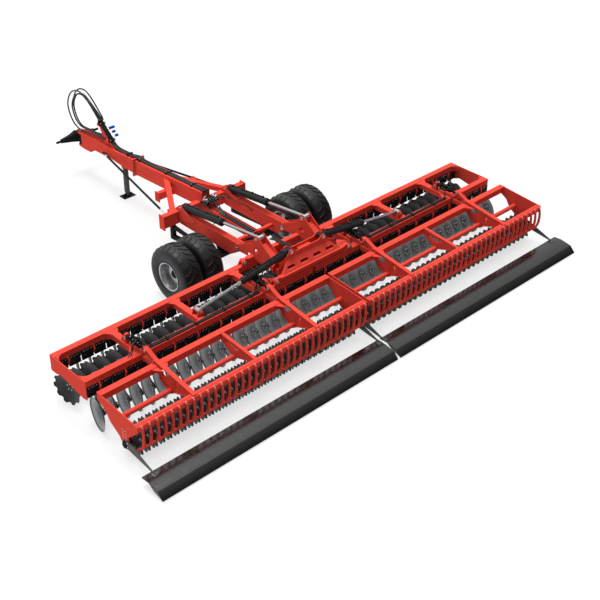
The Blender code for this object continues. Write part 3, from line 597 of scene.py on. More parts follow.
disc = {
    "radius": 0.30,
    "dish": 0.085,
    "apex": -0.035,
    "sheet": 0.0055,
    "angle": 12.0,
    "trail": 0.2,
    "notches": 10,
    "notchDepth": 0.032,
    "boltCircle": 0.060,
}


def discRow(name, shape, finish, side, slot=None, replaces=()):
    # one part of a disc, repeated along the wing
    item = publish(name, shape, finish, f"wing_{sideName(side)}", slot=slot, replaces=replaces)
    return inRow(item, lines["discs"], (lines["discPitch"] * side, 0, 0))


def dished(radius):
    return disc["apex"] + disc["dish"] * (radius / disc["radius"]) ** 2


def discPlate(shape, centre, normal, notched):
    steps = disc["notches"] * 8 if notched else 64
    turn = Vector((0, 0, 1)).rotation_difference(normal)
    shares = (0.12, 0.32, 0.52, 0.70, 0.84, 0.93, 1.0)
    rows = []
    for i in range(steps):
        angle = 2 * math.pi * i / steps
        rim = disc["radius"]
        if notched:
            across = max(0.0, min(1.0, ((i % 8) / 8 - 0.15) / 0.6))
            rim -= disc["notchDepth"] * math.sin(math.pi * across) ** 0.7
        line = []
        for side, order in ((1, shares), (-1, shares[::-1])):
            for share in order:
                radius = share * (rim if share > 0.8 else disc["radius"])
                thick = disc["sheet"] / 2 if share < 1 else 0.0012
                height = dished(radius) + side * thick
                line.append(Vector((radius * math.cos(angle), radius * math.sin(angle), height)))
        rows.append(line)
    verts = [[shape.mesh.verts.new(centre + turn @ p) for p in row] for row in rows]
    for i in range(steps):
        a, b = verts[i], verts[(i + 1) % steps]
        for j in range(len(a)):
            k = (j + 1) % len(a)
            face = shape.mesh.faces.new((a[j], b[j], b[k], a[k]))
            order = (shares + shares[::-1])
            around = ((i, j), (i + 1, j), (i + 1, k), (i, k))
            for loop, (u, v) in zip(face.loops, around):
                loop[shape.uv].uv = (u / steps, order[v])


def discHub(shape, centre, normal):
    back = centre + normal * (dished(0.05) - 0.004)
    profile = [(0, 0), (0, 0.070), (0.010, 0.070), (0.014, 0.055), (0.050, 0.052), (0.056, 0.046), (0.056, 0)]
    shape.turned(profile, back, -normal, 24)


def makeDiscs(side, place, tubeY, turn, finish):
    name = sideName(side)
    first = lines["discPitch"] / 2 * side
    angle = math.radians(disc["angle"])
    normal = Vector((-math.cos(angle), turn * math.sin(angle), 0))
    centre = Vector((first, tubeY - disc["trail"], disc["radius"]))
    node = f"disc_row_{place}_{name}"

    shape = Shape()
    discPlate(shape, centre, normal, place == "front")
    boss = centre + normal * (dished(0.05) + 0.001)
    shape.turned([(0, 0), (0, 0.036), (0.004, 0.036), (0.008, 0.028), (0.009, 0)], boss, normal, 20)
    discRow(f"discs_{place}_{name}", shape, finish, side, replaces=(node,))

    shape = Shape()
    discHub(shape, centre, normal)
    discRow(f"disc_hubs_{place}_{name}", shape, "black", side, slot="disc_steel")

    shape = Shape()
    upright = normal.cross(Vector((0, 0, 1))).normalized()
    for i in range(5):
        a = 2 * math.pi * i / 5 + 0.3
        out = upright * math.cos(a) + Vector((0, 0, 1)) * math.sin(a)
        spot = centre + normal * (dished(disc["boltCircle"]) + 0.002) + out * disc["boltCircle"]
        shape.bolt(spot, normal, 0.0125)
    discRow(f"disc_bolts_{place}_{name}", shape, "zinc", side)

    shape = Shape()
    hub = centre - normal * 0.075
    top = lines["tubeTop"] - lines["tube"]
    path = smoothPath(
        [
            (hub.x + 0.012, tubeY + 0.005, top - 0.075),
            (hub.x + 0.010, tubeY - 0.010, top - 0.16),
            (hub.x + 0.006, tubeY + 0.012, top - 0.27),
            (hub.x, tubeY - 0.035, top - 0.37),
            (hub.x, tubeY - 0.12, top - 0.45),
            (hub.x, hub.y + 0.01, hub.z),
        ],
        0.035,
    )
    widths = [0.085 - 0.028 * i / (len(path) - 1) for i in range(len(path))]
    shape.strap(path, widths, 0.022)
    eye = [(-0.014, 0), (-0.014, 0.05), (-0.010, 0.056), (0.010, 0.056), (0.014, 0.05), (0.014, 0)]
    shape.turned(eye, hub, -normal, 20)
    discRow(f"disc_arms_{place}_{name}", shape, "arm", side)


clamp = {"reach": 0.095, "depth": 0.13, "height": 0.125, "plate": 0.012, "bar": 0.075, "panel": 0.117}


def makeClamps(side, place, tubeY):
    name = sideName(side)
    first = lines["discPitch"] / 2 * side
    top = lines["tubeTop"] - lines["tube"] - 0.001
    half = clamp["depth"] / 2
    low = top - clamp["height"]

    shape = Shape()
    # folded sleeve, open at both ends, with flanges under the tube
    outer = [(tubeY - half, top), (tubeY + half, top), (tubeY + half, low + 0.03), (tubeY + half - 0.03, low)]
    outer += [(tubeY - half + 0.03, low), (tubeY - half, low + 0.03)]
    inset = clamp["plate"]
    inner = [(tubeY - half + inset, top - inset), (tubeY + half - inset, top - inset)]
    inner += [(tubeY + half - inset, low + 0.034), (tubeY + half - 0.034, low + inset)]
    inner += [(tubeY - half + 0.034, low + inset), (tubeY - half + inset, low + 0.034)]
    reach = clamp["reach"]
    shape.plate(outer, "X", first - reach, first + reach, 0.002, (inner,))
    # mud guards hung off both faces, a finger's width below the tube
    wide = clamp["panel"]
    for end in (-1, 1):
        y = tubeY + end * (half + 0.006)
        shape.box((first - wide, first + wide), (y - 0.004, y + 0.004), (low - 0.045, top - 0.012), 0.002)
        y = tubeY + end * (half + 0.020)
        shape.box((first - wide, first + wide), (y - 0.016, y + 0.016), (low - 0.051, low - 0.045), 0.002)
    discRow(f"clamps_{place}_{name}", shape, "black", side)

    shape = Shape()
    middle = (top + low) / 2
    for u, v in ((1, 1), (1, -1), (-1, 1), (-1, -1)):
        spot = Vector((first - reach + 0.004, tubeY + u * 0.038, middle + v * 0.036))
        shape.rod(spot, spot + Vector((2 * reach - 0.008, 0, 0)), 0.018, 12)
    discRow(f"clamp_rubbers_{place}_{name}", shape, "hose", side)

    shape = Shape()
    size = clamp["bar"] / math.sqrt(2)
    outline = [(tubeY - size, middle), (tubeY, middle - size), (tubeY + size, middle), (tubeY, middle + size)]
    shape.plate(outline, "X", first - reach - 0.01, first + reach + 0.014, 0.002)
    discRow(f"clamp_bars_{place}_{name}", shape, "arm", side)

    shape = Shape()
    for end in (-1, 1):
        face = tubeY + end * (half + 0.010)
        for x in (-0.07, -0.02, 0.02, 0.07):
            shape.bolt((first + x, face, top - 0.018), (0, end, 0), 0.0085)
    discRow(f"clamp_bolts_{place}_{name}", shape, "zinc", side)


def makeGussets(side):
    # red fins between the tubes and the mud guards
    name = sideName(side)
    shape = Shape()
    top = lines["tubeTop"]
    low = top - lines["tube"]
    for tubeY, face in ((lines["frontTube"], -1), (lines["rearTube"], -1), (lines["rearTube"], 1)):
        near = tubeY + face * (lines["tube"] / 2 - 0.004)
        far = tubeY + face * 0.125
        outline = [
            (near, low + 0.05), (far, low - 0.03), (near + face * 0.03, low - 0.15), (near, low - 0.15),
        ]
        for i in range(10):
            x = 0.25 + 0.5 * i
            shape.plate(outline, "X", x - 0.009, x + 0.009, 0.0015)
    publish(f"tube_gussets_{name}", shape, "red", f"wing_{name}", side)


for side in (-1, 1):
    makeDiscs(side, "front", lines["frontTube"], -1, "notched")
    makeDiscs(side, "rear", lines["rearTube"], 1, "smooth")
    makeClamps(side, "front", lines["frontTube"])
    makeClamps(side, "rear", lines["rearTube"])
    makeGussets(side)
print("discs and clamps")


ring = {"drum": 0.17, "crest": 0.212, "tip": 0.277, "half": 0.056, "teeth": 12}


def makeRoller(side):
    name = sideName(side)
    y, z = lines["rollerY"], lines["rollerZ"]
    shape = Shape()
    x = lines["ringStart"] + lines["ringPitch"] / 2
    half = ring["half"]
    drum, crest = ring["drum"], ring["crest"]
    right = [(half, drum - 0.004), (half, drum + 0.010), (half * 0.62, drum + 0.026), (0.016, crest - 0.024)]
    right += [(0.007, crest - 0.004), (0.003, crest)]
    shape.turned([(-a, r) for a, r in right] + right[::-1], (x, y, z), (1, 0, 0), 48)
    node = f"roller_{name}"
    # the rings take the darker copy of the steel, as painted shade
    item = publish(f"roller_rings_{name}", shape, "roller", node, side, (node,))
    inRow(item, lines["rings"], (lines["ringPitch"] * side, 0, 0))

    shape = Shape()
    wide = Vector((1, 0, 0))
    for i in range(ring["teeth"]):
        a = 2 * math.pi * i / ring["teeth"]
        out = Vector((0, math.cos(a), math.sin(a)))
        ahead = Vector((0, -math.sin(a), math.cos(a)))
        rows = []
        for radius, thick, long in (
            (drum + 0.015, 0.032, 0.056), (crest + 0.006, 0.026, 0.042), (ring["tip"], 0.007, 0.010),
        ):
            spot = Vector((x, y, z)) + out * radius
            corners = ((1, 1), (-1, 1), (-1, -1), (1, -1))
            rows.append([spot + wide * thick * u + ahead * long * v for u, v in corners])
        shape.skin(rows)
    # the teeth take the lighter copy of the same steel, as painted light
    item = publish(f"roller_teeth_{name}", shape, "tooth", node, side)
    inRow(item, lines["rings"], (lines["ringPitch"] * side, 0, 0))

    shape = Shape()
    far = lines["halfWidth"] - 0.06
    profile = [
        (0.032, 0), (0.032, 0.029), (0.085, 0.029), (0.085, 0.10), (0.09, drum), (far, drum),
        (far + 0.005, 0.10),
    ]
    profile += [(far + 0.005, 0.029), (lines["halfWidth"] - 0.002, 0.029), (lines["halfWidth"] - 0.002, 0)]
    shape.turned(profile, (0, y, z), (1, 0, 0), 40)
    publish(f"roller_drum_{name}", shape, "roller", node, side)


def makeScrapers(side):
    name = sideName(side)
    back = lines["beamBack"]
    top = lines["beamTop"]
    x = lines["ringStart"]
    shape = Shape()
    path = smoothPath(
        [
            (x, back - 0.018, top - 0.025),
            (x, back - 0.036, top - 0.085),
            (x, back - 0.046, top - 0.19),
            (x, back - 0.040, top - 0.30),
            (x, back - 0.012, top - 0.41),
            (x, back + 0.050, top - 0.505),
            (x, back + 0.125, top - 0.555),
        ],
        0.045,
    )
    count = len(path) - 1
    widths = [0.030 + 0.016 * math.sin(math.pi * min(1, 0.15 + 0.9 * i / count)) for i in range(count + 1)]
    shape.strap(path, widths, 0.032)
    # worn scraping foot
    shape.box((x - 0.026, x + 0.026), (back + 0.098, back + 0.150), (top - 0.578, top - 0.558), 0.002)
    # bolt tab over the beam's edge
    shape.box((x - 0.024, x + 0.024), (back - 0.026, back + 0.004), (top - 0.048, top + 0.004), 0.003)
    blades = publish(f"scrapers_{name}", shape, "red", f"wing_{name}", side, (f"scraper_row_{name}",))
    inRow(blades, lines["rings"] + 1, (lines["ringPitch"] * side, 0, 0))

    shape = Shape()
    shape.bolt((x, back - 0.026, top - 0.014), (0, -1, 0.3), 0.0125)
    shape.bolt((x, back - 0.006, top + 0.004), (0, 0, 1), 0.0085)
    bolts = publish(f"scraper_bolts_{name}", shape, "zinc", f"wing_{name}", side)
    inRow(bolts, lines["rings"] + 1, (lines["ringPitch"] * side, 0, 0))

    shape = Shape()
    end = lines["ringStart"] + lines["ringPitch"] * lines["rings"]
    shape.box((x - 0.05, end + 0.05), (back - 0.010, back + 0.002), (top - 0.100, top - 0.012), 0.002)
    shape.box(
        (0.05, lines["halfWidth"] - 0.02), (back + 0.034, back + 0.046), (top - 0.001, top + 0.008),
        0.002,
    )
    publish(f"scraper_rail_{name}", shape, "red", f"wing_{name}", side)


def makeBearings(side):
    # bearing housings and bolts on the packer's end plates
    name = sideName(side)
    y, z = lines["rollerY"], lines["rollerZ"]
    plate = 0.015
    for place, face, out in (("outer", lines["halfWidth"], 1), ("inner", 0.03 + plate, 1)):
        shape = Shape()
        profile = [
            (0, 0.034), (0, 0.078), (0.010, 0.078), (0.014, 0.060), (0.030, 0.056), (0.034, 0.050),
            (0.034, 0),
        ]
        if place == "inner":
            profile = [(x * 0.5, r) for x, r in profile]
        shape.turned(profile, (face, y, z), (out, 0, 0), 28)
        publish(f"bearing_{place}_{name}", shape, "black", f"wing_{name}", side)
    shape = Shape()
    face = lines["halfWidth"]
    for u, v in ((-0.055, 0.055), (0.055, 0.055), (0.055, -0.055), (-0.055, -0.055)):
        shape.bolt((face + 0.009, y + u, z + v), (1, 0, 0), 0.012)
    for i in range(4):
        for j in range(2):
            shape.bolt((face, y - 0.035 + 0.07 * j + 0.005 * i, z + 0.115 + 0.055 * i), (1, 0, 0), 0.011)
    publish(f"end_bolts_{name}", shape, "zinc", f"wing_{name}", side)


for side in (-1, 1):
    makeRoller(side)
    makeScrapers(side)
    makeBearings(side)
print("roller and scrapers")


board = {
    "front": (-1.34, 0.165), "ridge": (-1.74, 0.140), "rear": (-1.858, 0.022), "sheet": 0.014,
    "overhang": 0.2,
}


def makeBoard(side):
    name = sideName(side)
    body = f"wing_{name}"
    node = f"trailing_board_{name}"
    start, end = 0.03, lines["halfWidth"] + board["overhang"]
    (fy, fz), (ry, rz), (by, bz) = board["front"], board["ridge"], board["rear"]
    fold = fy - 0.17
    outline = [
        (fy, fz), (fold, fz + 0.012), (ry, rz), (by, bz), (by + 0.012, bz - 0.003),
        (ry + 0.007, rz - 0.013),
    ]
    outline += [(fold, fz - 0.002), (fy + 0.003, fz - 0.014)]
    shape = Shape()
    shape.plate(outline, "X", start, end, 0.002)
    # end caps close the folded sheet
    for low in (start, end - 0.008):
        cap = [(fold, fz + 0.010), (ry, rz - 0.002), (by + 0.006, bz + 0.004), (ry + 0.10, rz - 0.06)]
        shape.plate(cap, "X", low, low + 0.008)
    publish(f"board_{name}", shape, "board", body, side, (node,))

    shape = Shape()
    y, z = lines["rollerY"], lines["rollerZ"]
    arm = [(y - 0.055, z + 0.13), (y - 0.055, z - 0.04), (fy - 0.05, fz - 0.004), (fy - 0.12, fz + 0.018)]
    arm += [(fy, fz + 0.035)]
    for low in (0.0455, lines["halfWidth"] + 0.0005):
        shape.plate(arm, "X", low, low + 0.02, 0.002)
        # foot that bolts the arm to the board
        shape.box((low - 0.045, low + 0.065) if low > 1 else (low - 0.015, low + 0.085),
                  (fy - 0.14, fy - 0.03), (fz + 0.004, fz + 0.017), 0.002)
    publish(f"board_arms_{name}", shape, "boardArm", body, side)

    shape = Shape()
    for low in (0.0455, lines["halfWidth"] + 0.0005):
        out = low + 0.02
        shape.bolt((out, y - 0.085, z + 0.085), (1, 0, 0), 0.012)
        shape.bolt((out, y - 0.085, z + 0.01), (1, 0, 0), 0.012)
    for x in (4.975, 5.055):
        shape.bolt((x, fy - 0.085, fz + 0.016), (0, 0, 1), 0.010)
    publish(f"board_bolts_{name}", shape, "zinc", body, side)


for side in (-1, 1):
    makeBoard(side)
print("trailing board")


tyre = {"radius": 0.58, "half": 0.22, "rim": 0.286, "lugs": 26, "lugHeight": 0.014, "lugWide": 0.034}


def tyreSection():
    # (along the axle, radius) from one bead over the tread to the other
    half, rim, top = tyre["half"], tyre["rim"], tyre["radius"] - tyre["lugHeight"]
    right = [
        (half - 0.052, rim), (half - 0.030, rim + 0.012), (half - 0.012, rim + 0.05),
        (half - 0.003, rim + 0.10),
        (half - 0.001, rim + 0.145), (half - 0.006, rim + 0.19), (half - 0.022, top - 0.045),
        (half - 0.042, top - 0.022), (half - 0.075, top - 0.008), (half - 0.12, top - 0.002),
    ]
    return [(-x, r) for x, r in right] + [(0, top)] + right[::-1]


def makeTyre(side, place, x):
    name = sideName(side)
    centre = Vector((x, lines["wheelY"], lines["wheelZ"]))
    shape = Shape()
    section = tyreSection()
    inner = [(-0.16, tyre["rim"] - 0.001), (0.16, tyre["rim"] - 0.001)]
    shape.turned(section + inner[::-1] + section[:1], centre, (1, 0, 0), 72)
    # concentric ribs on the sidewalls
    for out in (-1, 1):
        for radius, x0 in ((0.345, 0.206), (0.362, 0.209), (0.47, 0.2125)):
            profile = [(out * (x0 - 0.008), radius - 0.005), (out * (x0 + 0.003), radius - 0.002)]
            profile += [(out * (x0 + 0.003), radius + 0.002), (out * (x0 - 0.008), radius + 0.005)]
            shape.turned(profile, centre, (1, 0, 0), 60)
    top = tyre["radius"] - tyre["lugHeight"]
    # a lug curves from the crown to the shoulder and fades out there
    track = [
        (0.012, top), (0.045, top - 0.001), (0.080, top - 0.002), (0.115, top - 0.004),
        (0.150, top - 0.012),
    ]
    track += [(0.176, top - 0.028), (0.192, top - 0.050)]
    sweep = [0.0, 0.050, 0.085, 0.108, 0.120, 0.124, 0.124]
    lift = [0.014, 0.0145, 0.0145, 0.014, 0.013, 0.010, 0.004]
    for out in (-1, 1):
        for i in range(tyre["lugs"]):
            base = 2 * math.pi * (i + (0.5 if out > 0 else 0)) / tyre["lugs"]
            rows = []
            for k, (along, radius) in enumerate(track):
                wide = tyre["lugWide"] * (1.0 - 0.25 * k / (len(track) - 1)) / radius / 2
                outward = Vector((max(0.0, along - 0.12) * 6, 1.0)).normalized()
                section = ((-0.006, 1.2), (lift[k] - 0.003, 1.0), (lift[k], 0.8))
                line = []
                for turn, steps in ((-1, section), (1, section[::-1])):
                    for depth, share in steps:
                        r = radius + outward.y * depth
                        a = base + sweep[k] * 1.5 + turn * wide * share
                        line.append(centre + Vector((
                            out * (along + outward.x * depth), r * math.cos(a), r * math.sin(a),
                        )))
                rows.append(line)
            shape.skin(rows)
    node = f"tyre_{name}_{place}"
    publish(f"tread_tyre_{name}_{place}", shape, "tyre", f"wheels_{name}", side, (node,), crease=40)


def makeRims(side):
    name = sideName(side)
    body = f"wheels_{name}"
    y, z = lines["wheelY"], lines["wheelZ"]
    shape = Shape()
    for off in (-lines["twin"] / 2, lines["twin"] / 2):
        centre = (lines["wheelX"] + off, y, z)
        out = 1 if off > 0 else -1
        edge, lip = tyre["half"] - 0.024, tyre["rim"] - 0.0015
        outer = [
            (-edge, lip), (-edge - 0.004, lip + 0.004), (-edge - 0.008, lip - 0.004),
            (-edge + 0.004, lip - 0.022),
        ]
        outer += [
            (-edge + 0.05, lip - 0.032), (-0.05, lip - 0.060), (0.05, lip - 0.060),
            (edge - 0.05, lip - 0.032),
        ]
        outer += [
            (edge - 0.004, lip - 0.022), (edge + 0.008, lip - 0.004), (edge + 0.004, lip + 0.004),
            (edge, lip),
        ]
        shape.turned(outer + outer[:1], centre, (1, 0, 0), 48)
        dish = [
            (0.006, 0.072), (0.006, 0.130), (0.030, 0.165), (0.034, 0.195), (0.010, 0.226),
            (0.000, 0.226),
        ]
        dish += [(0.022, 0.193), (0.018, 0.170), (-0.008, 0.133), (-0.008, 0.072)]
        dish = [(out * a, r) for a, r in dish]
        shape.turned(dish + dish[:1], centre, (1, 0, 0), 48)
    publish(f"rims_{name}", shape, "rim", body, side, (f"wheel_{name}",))

    shape = Shape()
    centre = Vector((lines["wheelX"], y, z))
    reach = lines["twin"] / 2
    profile = [
        (-reach - 0.10, 0.067), (-reach - 0.10, 0.085), (-reach - 0.014, 0.09), (-reach - 0.012, 0.125),
    ]
    profile += [
        (-reach + 0.004, 0.125), (-reach + 0.006, 0.10), (reach - 0.006, 0.10), (reach - 0.004, 0.125),
    ]
    profile += [
        (reach + 0.008, 0.125), (reach + 0.012, 0.082), (reach + 0.07, 0.078), (reach + 0.085, 0.062),
        (reach + 0.09, 0),
    ]
    shape.turned(profile, centre, (1, 0, 0), 32)
    publish(f"wheel_hub_{name}", shape, "black", body, side, slot="rim_steel")

    shape = Shape()
    for off, out in ((reach, 1), (-reach, -1)):
        for i in range(8):
            a = 2 * math.pi * i / 8
            spot = centre + Vector((off + out * 0.007, 0.104 * math.cos(a), 0.104 * math.sin(a)))
            shape.bolt(spot, (out, 0, 0), 0.0135)
    publish(f"wheel_nuts_{name}", shape, "zinc", body, side)


for side in (-1, 1):
    for place, off in (("inner", -lines["twin"] / 2), ("outer", lines["twin"] / 2)):
        makeTyre(side, place, lines["wheelX"] + off)
    makeRims(side)
print("wheels")


def pinHead(shape, place, axis, radius, reach=0.012):
    # end of a pin: keeper washer and turned head
    place, axis = Vector(place), Vector(axis).normalized()
    profile = [(0, 0), (0, radius * 1.5), (reach * 0.3, radius * 1.5), (reach * 0.3, radius)]
    profile += [(reach * 0.85, radius), (reach, radius * 0.8), (reach, 0)]
    shape.turned(profile, place, axis, 20)


def pinEnds(shape, place, axis, apart, radius, reach=0.012):
    # the heads at both ends of a pin, each as far from its middle
    for out in (-1, 1):
        spot = [p + a * out * apart for p, a in zip(place, axis)]
        pinHead(shape, spot, [a * out for a in axis], radius, reach)


pins = {
    "beam": (0.57, 1.70, 0.95),
    "towerEye": (0.57, 1.15, 1.38),
    "barrelEye": (0.57, 3.40, 1.10),
    "foldBarrel": (0.40, 0.58, 1.30),
    "foldRod": (2.50, 0.58, 0.99),
    "fold": (0.90, 0.97),
}


def makePins(side):
    name = sideName(side)
    shape = Shape()
    x, y, z = pins["beam"]
    pinEnds(shape, (x, y, z), (1, 0, 0), 0.1055, 0.032)
    x, y, z = pins["barrelEye"]
    pinEnds(shape, (x, y, z), (1, 0, 0), 0.0785, 0.026, 0.018)
    publish(f"chassis_pins_{name}", shape, "zinc", "chassis", side)

    shape = Shape()
    x, y, z = pins["towerEye"]
    shape.rod((x - 0.108, y, z), (x + 0.108, y, z), 0.0215, 20)
    shape.rod((x - 0.078, y, z), (x + 0.078, y, z), 0.047, 24)
    pinEnds(shape, (x, y, z), (1, 0, 0), 0.0945, 0.026, 0.02)
    x, y, z = pins["foldBarrel"]
    pinEnds(shape, (x, y, z), (0, 1, 0), 0.0825, 0.027, 0.02)
    publish(f"tower_pins_{name}", shape, "zinc", "lift_frame", side)

    shape = Shape()
    x, y, z = pins["foldRod"]
    shape.rod((x, y - 0.098, z), (x, y + 0.098, z), 0.020, 16)
    pinEnds(shape, (x, y, z), (0, 1, 0), 0.0825, 0.026, 0.016)
    x, z = pins["fold"]
    for tubeY in (lines["frontTube"], lines["rearTube"]):
        pinEnds(shape, (x, tubeY, z), (0, 1, 0), 0.0565, 0.024, 0.02)
    # the bolts of the depth arms
    for x in lines["depthArms"]:
        for out in (-1, 1):
            pinHead(shape, (x + out * 0.041, 0.20, 1.035), (out, 0, 0), 0.024, 0.014)
            pinHead(shape, (x + out * 0.036, 0.76, 1.00), (out, 0, 0), 0.022, 0.014)
            shape.bolt((x + out * 0.041, -0.02, 0.955), (out, 0, 0), 0.014)
    publish(f"wing_pins_{name}", shape, "zinc", f"wing_{name}", side)


def makeDoublers(side):
    # thicker sleeves on the tubes where the depth arms and braces land
    name = sideName(side)
    shape = Shape()
    top = lines["tubeTop"]
    low = top - lines["tube"]
    for x in lines["depthArms"]:
        for tubeY, out, reach in ((-0.06, -1, 0.34), (-0.06, 1, 0.30), (0.375, -1, 0.26), (0.375, 1, 0.22)):
            face = tubeY + out * lines["tube"] / 2
            outline = [(x - reach, low + 0.012), (x - reach, low + 0.05), (x - reach * 0.6, top - 0.004)]
            outline += [(x + reach * 0.6, top - 0.004), (x + reach, low + 0.05), (x + reach, low + 0.012)]
            shape.plate(outline, "Y", face, face + out * 0.007, 0.002)
        # corner webs between the arm and the tubes
        for out in (-1, 1):
            web = [(x + out * 0.038, -0.125), (x + out * 0.038, -0.30), (x + out * 0.16, -0.125)]
            shape.plate(web, "Z", top - 0.025, top - 0.010, 0.002)
            web = [(x + out * 0.060, 0.44), (x + out * 0.060, 0.62), (x + out * 0.17, 0.44)]
            shape.plate(web, "Z", top - 0.020, top - 0.006, 0.002)
    for x in (1.2, 2.55, 3.87):
        for out in (-1, 1):
            web = [(x + out * 0.060, 1.195), (x + out * 0.060, 1.09), (x + out * 0.13, 1.195)]
            shape.plate(web, "Z", top - 0.020, top - 0.006, 0.002)
    # rounded corners of the outer bay
    radius = 0.15
    for x, out in ((3.93, 1), (lines["halfWidth"] - 0.03, -1)):
        for y, ahead in (
            (lines["rearTube"] + lines["tube"] / 2, 1), (lines["frontTube"] - lines["tube"] / 2, -1),
        ):
            web = [(x, y)]
            for i in range(9):
                a = math.pi / 2 * i / 8
                web.append((x + out * radius * (1 - math.sin(a)), y + ahead * radius * (1 - math.cos(a))))
            shape.plate(web[::out * ahead], "Z", low + 0.004, top - 0.004, 0.002)
    # cover plates over the hinge lugs
    shape.plate(
        [(0.72, 0.44), (1.10, 0.44), (1.10, 0.60), (0.98, 0.74)][::-1], "Z", top - 0.03, top - 0.008,
        0.002,
    )
    publish(f"doublers_{name}", shape, "red", f"wing_{name}", side)


def tieRod(side):
    # ends of a tie rod, on the neck and under the crossbeam, and its direction
    start, end = Vector((side * 0.118, 6.71, 0.84)), Vector((side * 0.80, 3.59, 0.86))
    return start, end, (end - start).normalized()


def makeFlangeBolts():
    shape = Shape()
    for out, face in ((1, 5.6703), (-1, 5.6297)):
        for x in (-0.128, 0.128):
            for i in range(5):
                shape.bolt((x, face, 0.755 + 0.080 * i), (0, out, 0), 0.013)
        for x in (-0.07, 0.0, 0.07):
            shape.bolt((x, face, 1.102), (0, out, 0), 0.011)
    # tie rods: forks ahead, turnbuckles behind
    for side in (-1, 1):
        shape.bolt((side * 0.134, 6.71, 0.84), (side, 0, 0), 0.016)
        start, end, along = tieRod(side)
        shape.rod(start + along * 0.05, start + along * 0.16, 0.022, 12)
        shape.rod(end - along * 0.30, end - along * 0.07, 0.026, 6)
        shape.rod(end - along * 0.40, end - along * 0.30, 0.020, 12)
        pinHead(shape, (side * 0.0758, 6.15, 0.70), (side, 0, 0), 0.022)
    shape.rod((0, 7.72, 1.018), (0, 7.72, 1.032), 0.045, 20)
    shape.bolt((0, 7.72, 1.030), (0, 0, 1), 0.020)
    publish("flange_bolts", shape, "zinc", "chassis")

    shape = Shape()
    for side in (-1, 1):
        start, end, along = tieRod(side)
        shape.rod(start + along * 0.14, end - along * 0.38, 0.0235, 14)
    publish("tie_sleeves", shape, "black", "chassis")


# square to the mast's rear edge
mastUp = (0, -0.647, 0.762)

bundle = {"radius": 0.0115, "pitch": 0.0225, "count": 5, "step": 0.07}


def makeBundle():
    # hoses down the mast and along the drawbar to the valves on its rear end
    shape = Shape()
    half = (bundle["count"] - 1) / 2
    for i in range(bundle["count"]):
        x = (i - half) * bundle["pitch"]
        sag = 0.004 * math.sin(i * 2.4)
        route = [
            (x, 6.935, 1.490), (x, 6.80, 1.372 + sag), (x, 6.62, 1.220), (x, 6.50, 1.128),
            (x, 6.36, 1.076 + sag),
        ]
        route += [(x, 6.10, 1.077), (x, 5.86, 1.098 + sag), (x, 5.65, 1.142), (x, 5.42, 1.126 + sag)]
        route += [
            (x, 4.90, 1.148), (x, 4.40, 1.180 + sag), (x, 3.90, 1.209), (x * 1.2, 3.55, 1.232),
            (x * 1.6, 3.40, 1.236),
        ]
        shape.hose(smoothPath(route, bundle["step"]), bundle["radius"], 8)
    publish("hose_bundle", shape, "hose", "chassis")

    shape = Shape()
    wide = bundle["pitch"] * (half + 0.9)
    # cover strip on the mast and the clamps
    shape.bar((0, 6.545, 1.182), (0, 6.900, 1.484), 0.105, 0.012, mastUp, 0.003)
    for y, z in ((5.53, 1.122), (5.94, 1.094), (4.62, 1.166), (3.80, 1.216)):
        shape.box((-wide - 0.008, wide + 0.008), (y - 0.022, y + 0.022), (z - 0.016, z + 0.020), 0.004)
    for y, z in ((6.56, 1.188), (6.885, 1.462)):
        shape.bar((-wide - 0.012, y, z), (wide + 0.012, y, z), 0.045, 0.045, mastUp, 0.004)
    publish("bundle_clamps", shape, "black", "chassis")

    shape = Shape()
    for x in (-0.045, 0.045):
        for y, z in ((5.53, 1.142), (4.62, 1.186), (3.80, 1.236)):
            shape.bolt((x, y, z), (0, 0, 1), 0.009)
    for x in (-0.05, 0.05):
        shape.bolt((x, 6.532, 1.205), mastUp, 0.010)
        shape.bolt((x, 6.857, 1.480), mastUp, 0.010)
    publish("bundle_bolts", shape, "zinc", "chassis")


valves = {"y": 3.30, "z": 1.075}


